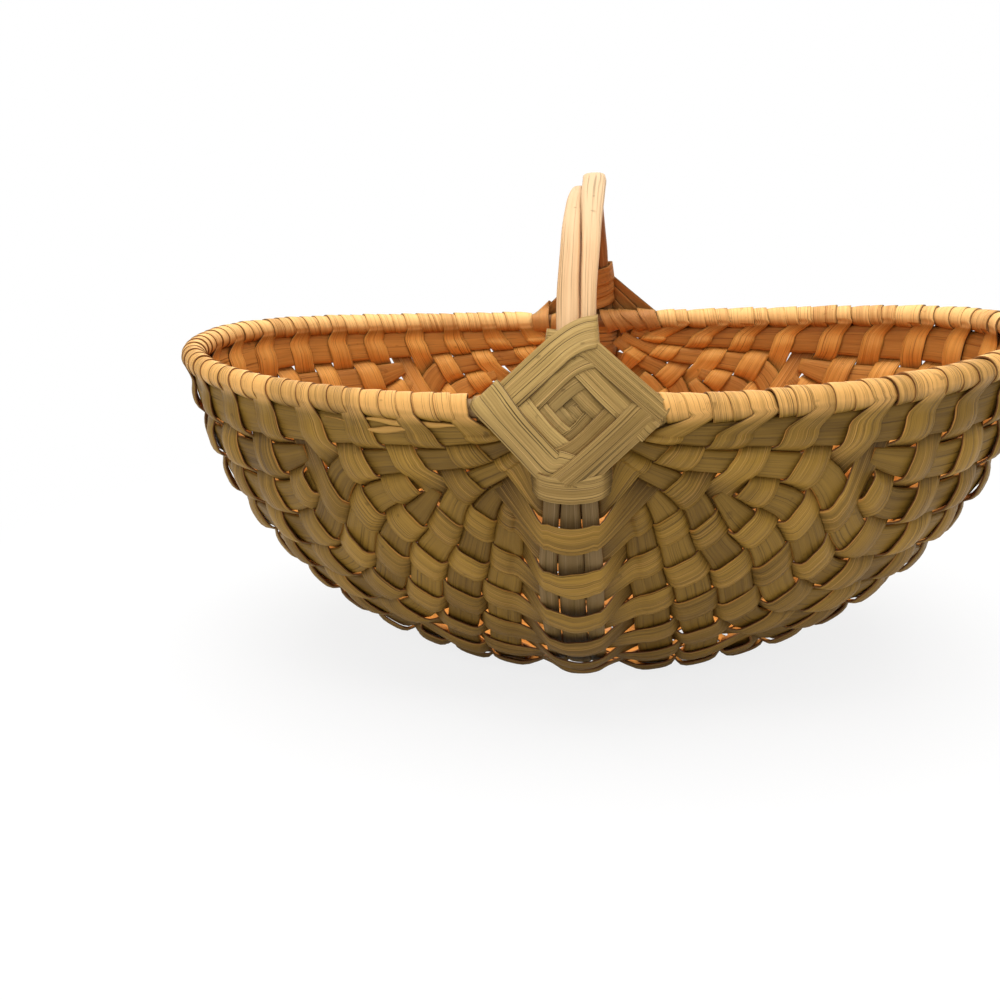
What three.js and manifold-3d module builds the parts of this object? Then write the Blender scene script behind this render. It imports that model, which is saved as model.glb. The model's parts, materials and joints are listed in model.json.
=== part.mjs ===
// A buttocks basket: a rib basket of split oak with a two-lobed bottom. One hoop of three
// strands is handle above the rim and keel below it. Ribs fan out from a diamond lashing at each
// end of the keel, and long flat weavers run over and under them, from rim to rim, and wrap the
// rim where they turn. Sizes are in millimetres and +Z is up. X runs along the rim's long axis,
// and Y across it, from the front lashing (-Y) to the rear one. The origin is on the ground,
// under the middle of the basket.
import * as THREE from 'three';
import { mergeVertices } from 'three/addons/utils/BufferGeometryUtils.js';
import Module from 'manifold-3d';

const wasm = await Module();
wasm.setup();

// Driving dimensions of the frame
const RIM_HALF_LENGTH = 164; // rod centre, along X
const RIM_HALF_WIDTH = 88; // rod centre, along Y
const RIM_HEIGHT = 132; // rod centre above the lowest rib, at the ears
const RIM_END_RISE = 8; // how far the rim's two ends bow up over its ears
const RIM_END_CURVE = 2.5; // exponent of that bow
const RIM_SQUARENESS = 2.25; // exponent of the ovals of rim and ribs, 2 for an ellipse
const RIM_ROD_RADIUS = 3.6; // to the rod's six corners
const HOOP_RISE = 69; // handle above the rim, to the strands' middle
const HOOP_SQUARENESS = 2.1;
const STRAND_WIDTH = 5.3;
const STRAND_THICKNESS = 3;
const STRAND_GAP = 0.5;
const CLEFT_DEPTH = 5.5; // how far the keel is drawn up between the two lobes
const CLEFT_HALF_WIDTH = 22;

// Driving dimensions of the weave
const RIB_WIDTH = 10.5; // at its widest
const RIB_THICKNESS = 2;
const RIB_TIP_WIDTH = 1.6; // of a rib that starts between two others
const RIB_SHARE = 0.5; // the most of the space between its neighbours that a rib fills
const RIB_POINT_SHARE = 0.4; // the same where ribs are pared down to enter the lashing
const RIB_POINT_THICKNESS = 1.2;
const WEAVER_WIDTH = 9.5;
const WEAVER_THICKNESS = 0.8;
const ROW_PITCH = 8.9; // on the keel, where the rows lie closest
const ROW_PAIRS_PER_WEAVER = 2;
const ROW_GAP = 0.6; // least gap between two rows
const CLEARANCE = 0.3; // between pieces that touch in the real basket
const GROUND_CUT = 0.5; // flat worn on the lobes where the basket stands
const KEEL_EDGE_MARGIN = 1; // a weaver bends this far past the keel's edge
const KEEL_RIB_MARGIN = 4.5; // more room between the keel and the next ribs
const RIM_RIB_SHARE = -0.1; // columns left free between the rim's edge and the first rib's column
const RIM_COLUMN_SHARE = 0.8; // width of the column next to the rim, to a middle one
const KEEL_COLUMN_SHARE = 1.1; // the same next to the keel

// Driving dimensions of the two lashings
const LASHING_HALF_WIDTH = 31; // along the rim
const LASHING_RISE = 28; // up the handle
const LASHING_DROP = 22; // down the keel
const LASHING_ROUNDS = 3;
const LASHING_THICKNESS = 1.2;
const LASHING_STEP = 0.6; // height of each round over the next one out
const LASHING_SINK = 0.15; // how deep the rounds are set into the sleeves behind them
const LASHING_OVERLAP = 1.6; // of each round over the next one out
const LASHING_MARGIN = 3; // from the lashing's edge to the first row

// The ribs of one side, from the rim to the keel. A number is the row, counted from either
// lashing, at which a rib starts between two others. Such ribs come in pairs, so that over and
// under still alternate. Zero is a rib that runs from lashing to lashing.
const RIB_STARTS = [0, 8, 8, 0, 4, 4, 0, 12, 12, 2, 2];

const lerp = THREE.MathUtils.lerp;
const radians = THREE.MathUtils.degToRad;
const KEEL_TURN = Math.PI / 2;
const KEEL_COLUMN = RIB_STARTS.length + 1; // column 0 is the rim
const keelHalfWidth = 1.5 * STRAND_WIDTH + STRAND_GAP;
const rimReach = RIM_ROD_RADIUS + 2 * (CLEARANCE + WEAVER_THICKNESS);
const keelDepth = RIM_HEIGHT - CLEFT_DEPTH;
const hoopHalfHeight = (keelDepth + HOOP_RISE) / 2;
const hoopDrop = keelDepth - hoopHalfHeight; // the hoop's centre lies this far under the rim
const hoopAtRim = RIM_HALF_WIDTH + RIM_ROD_RADIUS + CLEARANCE + STRAND_THICKNESS / 2;

// Power that keeps the sign, for superellipses.
const signedPower = (v, exponent) => Math.sign(v) * Math.abs(v) ** exponent;

// The oval that a rib follows. All ribs run from ear to ear, each in a plane turned about the
// line between the ears: turn 0 is the rim, a quarter turn is the keel, which is the hoop's part
// under the rim.
function ribOval(turn) {
  const c = Math.cos(turn);
  const s = Math.sin(turn);
  const reach = 1 / Math.hypot(c / RIM_HALF_LENGTH, s / RIM_HEIGHT);
  const nearKeel = Math.exp(-(((reach * c) / CLEFT_HALF_WIDTH) ** 2));
  const drop = hoopDrop * nearKeel;
  const radius = reach - CLEFT_DEPTH * nearKeel - drop;
  const power = 2 / lerp(RIM_SQUARENESS, HOOP_SQUARENESS, nearKeel);
  const start = -Math.asin((drop / radius) ** (1 / power));
  const halfWidth = lerp(RIM_HALF_WIDTH, hoopAtRim, nearKeel) / Math.cos(start) ** power;
  const pointAt = (angle) => {
    const d = drop + radius * signedPower(Math.sin(angle), power);
    const y = -halfWidth * signedPower(Math.cos(angle), power);
    return new THREE.Vector3(d * c, y, RIM_HEIGHT - d * s);
  };
  return { pointAt, start, end: Math.PI - start };
}

// The rim's ends bow up, and the ribs follow the less the lower they lie.
function bowed(point) {
  const share = (Math.abs(point.x) / RIM_HALF_LENGTH) ** RIM_END_CURVE;
  point.z += RIM_END_RISE * share * THREE.MathUtils.clamp(point.z / RIM_HEIGHT, 0, 1);
  return point;
}

// Points along one oval with their distance from the front ear.
const OVAL_STEPS = 240;
function measuredOval(turn) {
  const oval = ribOval(turn);
  const points = [bowed(oval.pointAt(oval.start))];
  const lengths = [0];
  for (let i = 1; i <= OVAL_STEPS; i++) {
    points.push(bowed(oval.pointAt(lerp(oval.start, oval.end, i / OVAL_STEPS))));
    lengths.push(lengths[i - 1] + points[i].distanceTo(points[i - 1]));
  }
  return { points, lengths, total: lengths[OVAL_STEPS] };
}

function alongOval(oval, distance) {
  let i = 1;
  while (i < OVAL_STEPS && oval.lengths[i] < distance) i++;
  const share = (distance - oval.lengths[i - 1]) / (oval.lengths[i] - oval.lengths[i - 1]);
  return oval.points[i - 1].clone().lerp(oval.points[i], share);
}

// Distance from the ear to the first row, along the rib with this turn.
function firstRow(turn) {
  const across = Math.cos(turn) / LASHING_HALF_WIDTH;
  const down = Math.sin(turn) / LASHING_DROP;
  return 1 / (across + down) + LASHING_MARGIN;
}

// Rows of weaving, as many whole weavers as fit on the keel.
const keelRun = measuredOval(KEEL_TURN).total - 2 * firstRow(KEEL_TURN);
const ROWS_PER_WEAVER = 2 * Math.round(ROW_PAIRS_PER_WEAVER);
const WEAVER_COUNT = Math.round(keelRun / (ROWS_PER_WEAVER * ROW_PITCH));
const ROW_COUNT = WEAVER_COUNT * ROWS_PER_WEAVER;

// A point of the basket's surface, on the side x > 0. A station counts rows from the front.
function surfacePoint(turn, station) {
  const oval = measuredOval(turn);
  const first = firstRow(turn);
  return alongOval(oval, first + (station / ROW_COUNT) * (oval.total - 2 * first));
}

// How much of a full column a rib takes at a station: its neighbours make room before it starts.
function presence(startRow, station) {
  if (!startRow) return 1;
  const fromEnd = Math.min(station, ROW_COUNT - station);
  return THREE.MathUtils.smoothstep(fromEnd, startRow - 2.5, startRow + 1.5);
}

// The turn of each column at a station, rim and keel included.
function turnsAt(station) {
  const middle = surfacePoint(KEEL_TURN / 2, station);
  const radius = Math.hypot(middle.x, RIM_HEIGHT - middle.z);
  const shares = RIB_STARTS.map((start, i) => {
    const width = lerp(RIM_COLUMN_SHARE, KEEL_COLUMN_SHARE, i / (RIB_STARTS.length - 1));
    return width * presence(start, station);
  });
  const total = shares.reduce((sum, share) => sum + share, RIM_RIB_SHARE + 0.5);
  const room = KEEL_TURN * radius - rimReach - keelHalfWidth - KEEL_RIB_MARGIN;
  const cell = room / total;
  let edge = rimReach + RIM_RIB_SHARE * cell;
  const turns = shares.map((share) => {
    edge += share * cell;
    return (edge - (share * cell) / 2) / radius;
  });
  return [0, ...turns, KEEL_TURN];
}

// Corners of the faceted surface, at every row and column: the place, and the way to the keel.
const corners = [];
for (let station = 0; station <= ROW_COUNT; station++) {
  corners.push(
    turnsAt(station).map((turn) => {
      const nudge = 0.01;
      const rimward = surfacePoint(Math.max(0, turn - nudge), station);
      const keelward = surfacePoint(Math.min(KEEL_TURN, turn + nudge), station);
      return { at: surfacePoint(turn, station), across: keelward.sub(rimward).normalize() };
    }),
  );
}

// The facets of rim, ribs and keel are two rows long, so that each turn of a weaver round the rim
// lies on one straight stretch. The turns of the rim's two sides are one row apart, and so are
// the rim's facets.
const rimShift = (column, side) => (column === 0 && side > 0 ? 1 : 0);

function facetOf(column, station, side) {
  const shift = rimShift(column, side);
  const nearest = 2 * Math.floor((station - shift) / 2) + shift;
  const from = THREE.MathUtils.clamp(nearest, -shift, ROW_COUNT - 2 + shift);
  return [Math.max(from, 0), Math.min(from + 2, ROW_COUNT)];
}

// The faceted surface where a column meets a station: the place, the direction along the rib,
// the one across it towards the keel, and the one out of the basket.
function surfaceAt(column, station, side) {
  const [from, to] = facetOf(column, station, side);
  const a = corners[from][column];
  const b = corners[to][column];
  const share = (station - from) / (to - from);
  const at = a.at.clone().lerp(b.at, share);
  const along = b.at.clone().sub(a.at).normalize();
  const across = a.across.clone().lerp(b.across, share);
  across.addScaledVector(along, -across.dot(along)).normalize();
  const out = new THREE.Vector3().crossVectors(across, along).normalize();
  for (const v of [at, along, across, out]) v.x *= side;
  return { at, along, across, out };
}

// Columns whose rib is there at a station, without rim and keel.
function ribColumnsAt(station) {
  const fromEnd = Math.min(station, ROW_COUNT - station);
  return RIB_STARTS.flatMap((start, i) => (fromEnd >= start || !start ? [i + 1] : []));
}

// A closed body through sections that have equally many points each. A ring of sections closes
// on itself, and anything else gets two flat ends. Opposite faces of a span are split along the
// same diagonal, the shorter one, so that a twisted strip keeps its thickness.
function loft(sections, ring = false) {
  const size = sections[0].length;
  const positions = sections.flat().flatMap((p) => [p.x, p.y, p.z]);
  const index = [];
  const spans = ring ? sections.length : sections.length - 1;
  for (let i = 0; i < spans; i++) {
    const j = (i + 1) % sections.length;
    const lean = [0, 0];
    for (let k = 0; k < size; k++) {
      const next = (k + 1) % size;
      const far = k < size / 2 ? 0 : 1;
      lean[far] += sections[i][k].distanceTo(sections[j][next]);
      lean[1 - far] += sections[i][next].distanceTo(sections[j][k]);
    }
    for (let k = 0; k < size; k++) {
      const [a, b, c, d] = [i * size + k, j * size + k, j * size, i * size];
      const next = (k + 1) % size;
      const forward = k < size / 2 === lean[0] <= lean[1];
      if (forward) index.push(a, b, c + next, a, c + next, d + next);
      else index.push(a, b, d + next, b, c + next, d + next);
    }
  }
  for (let k = 1; k < size - 1 && !ring; k++) {
    const last = (sections.length - 1) * size;
    index.push(0, k, k + 1, last, last + k + 1, last + k);
  }
  const geometry = new THREE.BufferGeometry();
  geometry.setAttribute('position', new THREE.Float32BufferAttribute(positions, 3));
  geometry.setIndex(index);
  return facesOut(geometry);
}

// Turns a closed geometry's faces outwards, by the sign of its volume.
function facesOut(geometry) {
  const p = geometry.attributes.position;
  const index = geometry.index.array;
  const [a, b, c] = [new THREE.Vector3(), new THREE.Vector3(), new THREE.Vector3()];
  let volume = 0;
  for (let i = 0; i < index.length; i += 3) {
    a.fromBufferAttribute(p, index[i]);
    b.fromBufferAttribute(p, index[i + 1]);
    c.fromBufferAttribute(p, index[i + 2]);
    volume += a.dot(b.cross(c));
  }
  if (volume < 0) geometry.setIndex(Array.from(index).reverse());
  return geometry;
}

// Four corners of a strip's section, from its middle, half its width and half its thickness.
function stripSection(middle, halfWidth, halfThickness) {
  return [
    middle.clone().add(halfWidth).add(halfThickness),
    middle.clone().add(halfWidth).sub(halfThickness),
    middle.clone().sub(halfWidth).sub(halfThickness),
    middle.clone().sub(halfWidth).add(halfThickness),
  ];
}

// Rim rod: six sides, with a straight inner and outer face. Its corners lie on the facets of
// both sides, and at the ears.
const ROD_ANGLES = [30, 90, 150, 210, 270, 330].map(radians);

// A point round the rod: angle 0 is out of the basket, a quarter turn is up.
function roundRod(surface, angle, radius) {
  const radial = surface.out.clone().multiplyScalar(Math.cos(angle));
  radial.addScaledVector(surface.across, -Math.sin(angle));
  return { radial, point: surface.at.clone().addScaledVector(radial, radius) };
}

const rodSection = (surface, radius) =>
  ROD_ANGLES.map((angle) => roundRod(surface, angle, radius).point);

// The rim's frame at one of its ears: x = 0, level, facing out along Y.
function rimEar(end) {
  return {
    at: new THREE.Vector3(0, end * RIM_HALF_WIDTH, RIM_HEIGHT),
    across: new THREE.Vector3(0, 0, -1),
    out: new THREE.Vector3(0, end, 0),
  };
}

// Stations of a column's bends on one side, from the front lashing to the rear one.
function bendStations(column, side) {
  const stations = [0];
  for (let s = 2 - rimShift(column, side); s < ROW_COUNT; s += 2) stations.push(s);
  return [...stations, ROW_COUNT];
}

// The mean of the frames before and after a bend keeps the rod's section square to both.
function bendFrame(column, station, side) {
  const before = surfaceAt(column, Math.max(station - 0.5, 0), side);
  const after = surfaceAt(column, Math.min(station + 0.5, ROW_COUNT), side);
  const here = surfaceAt(column, station, side);
  const out = before.out.add(after.out).normalize();
  const across = before.across.add(after.across).normalize();
  return { at: here.at, out, across };
}

function rimSections(radius) {
  const half = (side) =>
    bendStations(0, side).map((s) => rodSection(bendFrame(0, s, side), radius));
  const front = rodSection(rimEar(-1), radius);
  const rear = rodSection(rimEar(1), radius);
  return [front, ...half(1), rear, ...half(-1).reverse()];
}

// The left half's sections are mirrored, so their corners run the same way round the rod.
const rimHoop = () => loft(rimSections(RIM_ROD_RADIUS), true);

// Places along the whole hoop, each with the direction out of it.
const HANDLE_STEPS = 22;
function hoopPlaces() {
  const places = bendStations(KEEL_COLUMN, 1).map((s) => corners[s][KEEL_COLUMN].at);
  const oval = ribOval(KEEL_TURN);
  const lashed = measuredOval(KEEL_TURN);
  const cut = firstRow(KEEL_TURN) / 2;
  places.unshift(alongOval(lashed, cut));
  places.push(alongOval(lashed, lashed.total - cut));
  for (let i = 0; i <= HANDLE_STEPS; i++) {
    places.push(oval.pointAt(lerp(oval.end, oval.start + 2 * Math.PI, i / HANDLE_STEPS)));
  }
  return places.map((at, i) => {
    const before = places[(i + places.length - 1) % places.length];
    const after = places[(i + 1) % places.length];
    const way = after.clone().sub(before).normalize();
    return { at, out: new THREE.Vector3(0, -way.z, way.y).multiplyScalar(-1) };
  });
}

// A closed hoop of rectangular section, centred at x.
function hoopLoft(x, width, thickness) {
  const across = new THREE.Vector3(width / 2, 0, 0);
  const sections = hoopPlaces().map(({ at, out }) => {
    const middle = at.clone().setX(x);
    return stripSection(middle, across, out.clone().multiplyScalar(thickness / 2));
  });
  return loft(sections, true);
}

// A rib: thick along its middle line, thin at its edges, which lie on the straight way to its
// neighbours, so that weavers clear it on both faces.
const RIB_TUCK = 0.25; // rows by which a rib reaches into the lashing's edge
function ribSection(column, station, side) {
  const within = THREE.MathUtils.clamp(station, 0, ROW_COUNT);
  const ribs = [0, ...ribColumnsAt(within), KEEL_COLUMN];
  const place = ribs.indexOf(column);
  const here = bendFrame(column, within, side);
  here.at = surfaceAt(column, station, side).at;
  const ways = [ribs[place - 1], ribs[place + 1]].map((neighbour) => {
    const way = surfaceAt(neighbour, station, side).at.sub(here.at);
    if (neighbour === KEEL_COLUMN) way.x += side * (keelHalfWidth + KEEL_EDGE_MARGIN);
    return way;
  });
  const room = Math.min(ways[0].length(), ways[1].length());
  const start = RIB_STARTS[column - 1];
  const atEnd = Math.min(station, ROW_COUNT - station) <= start;
  const share = atEnd ? RIB_POINT_SHARE : RIB_SHARE;
  const width = atEnd && start ? RIB_TIP_WIDTH : Math.min(RIB_WIDTH, share * room);
  const edges = ways.map((way) => here.at.clone().add(way.setLength(width / 2)));
  const crown = here.out.multiplyScalar((atEnd ? RIB_POINT_THICKNESS : RIB_THICKNESS) / 2);
  return [here.at.clone().add(crown), edges[1], here.at.clone().sub(crown), edges[0]];
}

function rib(column, side) {
  const start = RIB_STARTS[column - 1];
  const from = start || -RIB_TUCK;
  const to = ROW_COUNT - from;
  const bends = bendStations(column, side).filter((s) => s > from && s < to);
  return loft([from, ...bends, to].map((s) => ribSection(column, s, side)));
}

// Weaver: where it passes a rib, the keel or the rim
const ribPass = RIB_THICKNESS / 2 + CLEARANCE + WEAVER_THICKNESS / 2;
const keelPass = STRAND_THICKNESS / 2 + CLEARANCE + WEAVER_THICKNESS / 2;
const sideSlope = Math.cos(radians(30)); // a rod face is nearer to the middle than its corners
const wrapRadius = RIM_ROD_RADIUS + (CLEARANCE + WEAVER_THICKNESS / 2) / sideSlope;
const WRAP_STEPS = 10; // sixths of a turn, from the outer lower corner to the inner one
const OUTER_CORNER = -30; // degrees
const INNER_CORNER = 210;

// Width of a row where it passes a column.
function rowWidth(column, row, side) {
  const pitch = surfaceAt(column, row, side).at.distanceTo(surfaceAt(column, row + 1, side).at);
  return Math.min(WEAVER_WIDTH, pitch - ROW_GAP);
}

// One row from the rim at x < 0 to the rim at x > 0. Even rows pass outside the first rib.
function rowSections(row) {
  const station = row + 0.5;
  const ribs = ribColumnsAt(station);
  const face = row % 2 ? -1 : 1; // the strip's own outer face turns inwards on odd rows
  const passAt = (column, side, place, reach, aside = 0) => {
    const surface = surfaceAt(column, station, side);
    const sign = (row + place) % 2 ? -1 : 1;
    const middle = surface.at.clone().addScaledVector(surface.out, sign * reach);
    middle.x += side * aside;
    const halfWidth = surface.along.clone().multiplyScalar(rowWidth(column, row, side) / 2);
    const halfThickness = surface.out.clone().multiplyScalar((face * WEAVER_THICKNESS) / 2);
    return stripSection(middle, halfWidth, halfThickness);
  };
  const half = (side) => [
    ...ribs.map((column, place) => passAt(column, side, place, ribPass)),
    passAt(KEEL_COLUMN, side, ribs.length, keelPass, keelHalfWidth + KEEL_EDGE_MARGIN),
  ];
  return [...half(-1), ...half(1).reverse()];
}

// Width of a weaver where it wraps the rim, so that a turn fills two rows.
function wrapSizes(station, side) {
  const [from, to] = facetOf(0, station, side);
  const a = surfaceAt(0, from, side).at;
  const pitch = a.distanceTo(surfaceAt(0, to - 1e-6, side).at) / (to - from);
  const rounds = WRAP_STEPS / 6;
  const width = (2 * pitch - ROW_GAP * (1 + rounds)) / (1 + rounds);
  return { width, rows: (2 * pitch - ROW_GAP - width) / pitch };
}

function wrapSection(station, side, degrees) {
  const surface = surfaceAt(0, station, side);
  const { radial, point } = roundRod(surface, radians(degrees), wrapRadius);
  const halfWidth = surface.along.clone().multiplyScalar(wrapSizes(station, side).width / 2);
  const halfThickness = radial.clone().multiplyScalar(WEAVER_THICKNESS / 2 / sideSlope);
  return stripSection(point, halfWidth, halfThickness);
}

// The turn that joins a row to the next one: it goes round the rim one and a half times, from
// its outer face to its inner one after an even row, and the other way after an odd one.
function turnSections(row, side) {
  const sections = [];
  const { rows } = wrapSizes(row + 1, side);
  for (let i = 0; i <= WRAP_STEPS; i++) {
    const station = row + 1 + (i / WRAP_STEPS - 0.5) * rows;
    const degrees = row % 2 ? INNER_CORNER - 60 * i : OUTER_CORNER + 60 * i;
    sections.push(wrapSection(station, side, degrees));
  }
  return sections;
}

// A weaver's loose end, laid over the rim from the inner face to the outer one.
function tailSections(row) {
  const sections = [];
  for (let degrees = INNER_CORNER; degrees >= OUTER_CORNER; degrees -= 60) {
    sections.push(wrapSection(row + 0.5, 1, degrees));
  }
  return sections;
}

// One weaver: rows there and back, with its two ends on the rim at x > 0.
function weaver(number) {
  const first = number * ROWS_PER_WEAVER;
  const last = first + ROWS_PER_WEAVER - 1;
  const sections = [...tailSections(first)];
  for (let row = first; row <= last; row++) {
    const rightToLeft = (row - first) % 2 === 0;
    sections.push(...(rightToLeft ? rowSections(row).reverse() : rowSections(row)));
    if (row < last) sections.push(...turnSections(row, rightToLeft ? -1 : 1));
  }
  sections.push(...tailSections(last));
  return loft(sections);
}

// Joins and cuts with manifold-3d
function toSolid(geometry) {
  const bare = geometry.clone();
  bare.deleteAttribute('normal');
  bare.deleteAttribute('uv');
  const merged = mergeVertices(bare, 1e-4);
  const vertProperties = Float32Array.from(merged.attributes.position.array);
  const triVerts = Uint32Array.from(merged.index.array);
  return new wasm.Manifold(new wasm.Mesh({ numProp: 3, vertProperties, triVerts }));
}

function toGeometry(solid) {
  const mesh = solid.getMesh();
  const geometry = new THREE.BufferGeometry();
  geometry.setAttribute('position', new THREE.Float32BufferAttribute(mesh.vertProperties, 3));
  geometry.setIndex(Array.from(mesh.triVerts));
  return geometry;
}

// Lashing: rounds of a flat splint, each passing over the four arms of rim and hoop
const hoopHalfWidth =
  hoopAtRim / (1 - (hoopDrop / hoopHalfHeight) ** HOOP_SQUARENESS) ** (1 / HOOP_SQUARENESS);

// The hoop's middle at a height over the rim, and its direction out of the hoop, for one end.
function hoopArm(height, end) {
  const z = (height + hoopDrop) / hoopHalfHeight;
  const y = hoopHalfWidth * (1 - Math.abs(z) ** HOOP_SQUARENESS) ** (1 / HOOP_SQUARENESS);
  const slopeY = (y / hoopHalfWidth) ** (HOOP_SQUARENESS - 1) / hoopHalfWidth;
  const slopeZ = signedPower(z, HOOP_SQUARENESS - 1) / hoopHalfHeight;
  const out = new THREE.Vector3(0, end * slopeY, slopeZ).normalize();
  return { at: new THREE.Vector3(0, end * y, RIM_HEIGHT + height), out };
}

// The rim's middle at a distance x from the ear.
function rimArm(x, end) {
  const share = (Math.abs(x) / RIM_HALF_LENGTH) ** RIM_SQUARENESS;
  const y = RIM_HALF_WIDTH * (1 - share) ** (1 / RIM_SQUARENESS);
  const at = bowed(new THREE.Vector3(x, end * y, RIM_HEIGHT));
  return { at, out: new THREE.Vector3(0, end, 0) };
}

// One round of the lashing: eight sections, two on each arm. The innermost is a closed cap.
function lashingRound(round, end) {
  const lift =
    (LASHING_ROUNDS - 1 - round) * LASHING_STEP + CLEARANCE + LASHING_THICKNESS / 2 - LASHING_SINK;
  const share = (round + 0.5) / LASHING_ROUNDS;
  const bandOnHandle = LASHING_RISE / LASHING_ROUNDS + LASHING_OVERLAP;
  const bandOnKeel = LASHING_DROP / LASHING_ROUNDS + LASHING_OVERLAP;
  const bandOnRim = LASHING_HALF_WIDTH / LASHING_ROUNDS + LASHING_OVERLAP;
  const onHoop = (x, height) => {
    const arm = hoopArm(height, end);
    const reach = STRAND_THICKNESS / 2 + lift;
    const middle = arm.at.clone().addScaledVector(arm.out, reach).setX(x);
    const up = new THREE.Vector3(0, -end * arm.out.z, Math.abs(arm.out.y));
    const side = up.multiplyScalar(height > 0 ? bandOnHandle / 2 : -bandOnKeel / 2);
    return stripSection(middle, side, arm.out.clone().multiplyScalar(LASHING_THICKNESS / 2));
  };
  const onRim = (x, height) => {
    const clearOfHoop = Math.abs(x) > keelHalfWidth + bandOnRim / 2;
    const arm = clearOfHoop ? rimArm(x, end) : hoopArm(0, end);
    const reach = (clearOfHoop ? RIM_ROD_RADIUS : STRAND_THICKNESS / 2) + lift;
    const middle = new THREE.Vector3(x, arm.at.y + end * reach, arm.at.z + height);
    const side = new THREE.Vector3((Math.sign(x) * bandOnRim) / 2, 0, 0);
    return stripSection(middle, side, arm.out.clone().multiplyScalar(LASHING_THICKNESS / 2));
  };
  const x = share * LASHING_HALF_WIDTH;
  const rise = share * LASHING_RISE;
  const drop = share * LASHING_DROP;
  const hoopSide = Math.min(keelHalfWidth + CLEARANCE + LASHING_THICKNESS, x / 2);
  const rimSide = Math.min(RIM_ROD_RADIUS + CLEARANCE, drop / 2);
  const sections = [
    onHoop(-hoopSide, rise),
    onHoop(hoopSide, rise),
    onRim(x, rimSide),
    onRim(x, -rimSide),
    onHoop(hoopSide, -drop),
    onHoop(-hoopSide, -drop),
    onRim(-x, -rimSide),
    onRim(-x, rimSide),
  ];
  if (round > 0) return loft(sections, true);
  return loft([sections.map(([front]) => front), sections.map(([, back]) => back)]);
}

// Sleeves where the splint goes round the arms, behind its rounds.
const SLEEVE_STEPS = 6;
function hoopSleeve(end, grow) {
  const sections = [];
  for (let i = 0; i <= SLEEVE_STEPS; i++) {
    const arm = hoopArm(lerp(-LASHING_DROP, LASHING_RISE, i / SLEEVE_STEPS), end);
    const halfWidth = new THREE.Vector3(keelHalfWidth + grow, 0, 0);
    const halfThickness = arm.out.clone().multiplyScalar(STRAND_THICKNESS / 2 + grow);
    sections.push(stripSection(arm.at, halfWidth, halfThickness));
  }
  return loft(sections);
}

function rimSleeve(end, halfWidth, grow) {
  const sections = [];
  for (let i = 0; i <= SLEEVE_STEPS; i++) {
    const arm = rimArm(lerp(-halfWidth, halfWidth, i / SLEEVE_STEPS), end);
    sections.push(rodSection({ ...rimEar(end), at: arm.at }, RIM_ROD_RADIUS + grow));
  }
  return loft(sections);
}

function lashing(end) {
  const skin = CLEARANCE + LASHING_THICKNESS - 2 * LASHING_SINK;
  let solid = toSolid(hoopSleeve(end, skin));
  solid = solid.add(toSolid(rimSleeve(end, LASHING_HALF_WIDTH, skin / sideSlope)));
  for (let round = 0; round < LASHING_ROUNDS; round++) {
    solid = solid.add(toSolid(lashingRound(round, end)));
  }
  const hoopRoom = 2 * keelHalfWidth + 2 * CLEARANCE;
  const hoop = toSolid(hoopLoft(0, hoopRoom, STRAND_THICKNESS + 2 * CLEARANCE));
  const rim = toSolid(loft(rimSections(RIM_ROD_RADIUS + CLEARANCE / sideSlope), true));
  return toGeometry(solid.subtract(hoop).subtract(rim));
}

// Finish of each kind of piece
const finishes = {
  rim: new THREE.MeshStandardMaterial({ color: 0x8a6a42, roughness: 0.7, metalness: 0 }),
  hoop: new THREE.MeshStandardMaterial({ color: 0xc9a878, roughness: 0.6, metalness: 0 }),
  rib: new THREE.MeshStandardMaterial({ color: 0x7d5a36, roughness: 0.7, metalness: 0 }),
  weaver: new THREE.MeshStandardMaterial({ color: 0xa8854f, roughness: 0.65, metalness: 0 }),
  lashing: new THREE.MeshStandardMaterial({ color: 0xb59a6b, roughness: 0.65, metalness: 0 }),
};

const pieces = [];
function addPiece(name, geometry, finish) {
  const mesh = new THREE.Mesh(geometry, finishes[finish]);
  mesh.name = name;
  pieces.push(mesh);
}

addPiece('rim_hoop', rimHoop(), 'rim');
for (const [i, name] of ['left', 'middle', 'right'].entries()) {
  const x = (i - 1) * (STRAND_WIDTH + STRAND_GAP);
  addPiece(`hoop_strand_${name}`, hoopLoft(x, STRAND_WIDTH, STRAND_THICKNESS), 'hoop');
}
for (const [side, name] of [[-1, 'left'], [1, 'right']]) {
  for (let column = 1; column < KEEL_COLUMN; column++) {
    addPiece(`rib_${name}_${column}`, rib(column, side), 'rib');
  }
}
addPiece('lashing_front', lashing(-1), 'lashing');
addPiece('lashing_rear', lashing(1), 'lashing');
for (let number = 0; number < WEAVER_COUNT; number++) {
  addPiece(`weaver_${number + 1}`, weaver(number), 'weaver');
}

// The lowest rows are worn flat, and stand on the ground.
const bounds = new THREE.Box3();
for (const piece of pieces) bounds.expandByObject(piece);
const ground = bounds.min.z + GROUND_CUT;
const groundBox = new THREE.BoxGeometry(2 * RIM_HALF_LENGTH, 2 * RIM_HALF_WIDTH, RIM_HEIGHT);
groundBox.translate(0, 0, ground - RIM_HEIGHT / 2);
const underGround = toSolid(groundBox);
for (const piece of pieces) {
  piece.geometry.computeBoundingBox();
  if (piece.geometry.boundingBox.min.z >= ground) continue;
  piece.geometry = toGeometry(toSolid(piece.geometry).subtract(underGround));
}

const basket = new THREE.Group();
basket.add(...pieces);
basket.position.z = -ground;

export default basket;
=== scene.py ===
"""A buttocks basket of split wood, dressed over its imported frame.

Sizes are in millimetres in the classes below, and meshes are written in metres. X runs along the
rim's long axis, Y across it from the front lashing to the rear one, and Z up from the ground.
"""

from __future__ import annotations

import json
import logging
import math
from dataclasses import dataclass, field
from enum import Enum

import bmesh
import bpy
import numpy as np
from mathutils import Euler, Matrix, Vector

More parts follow.
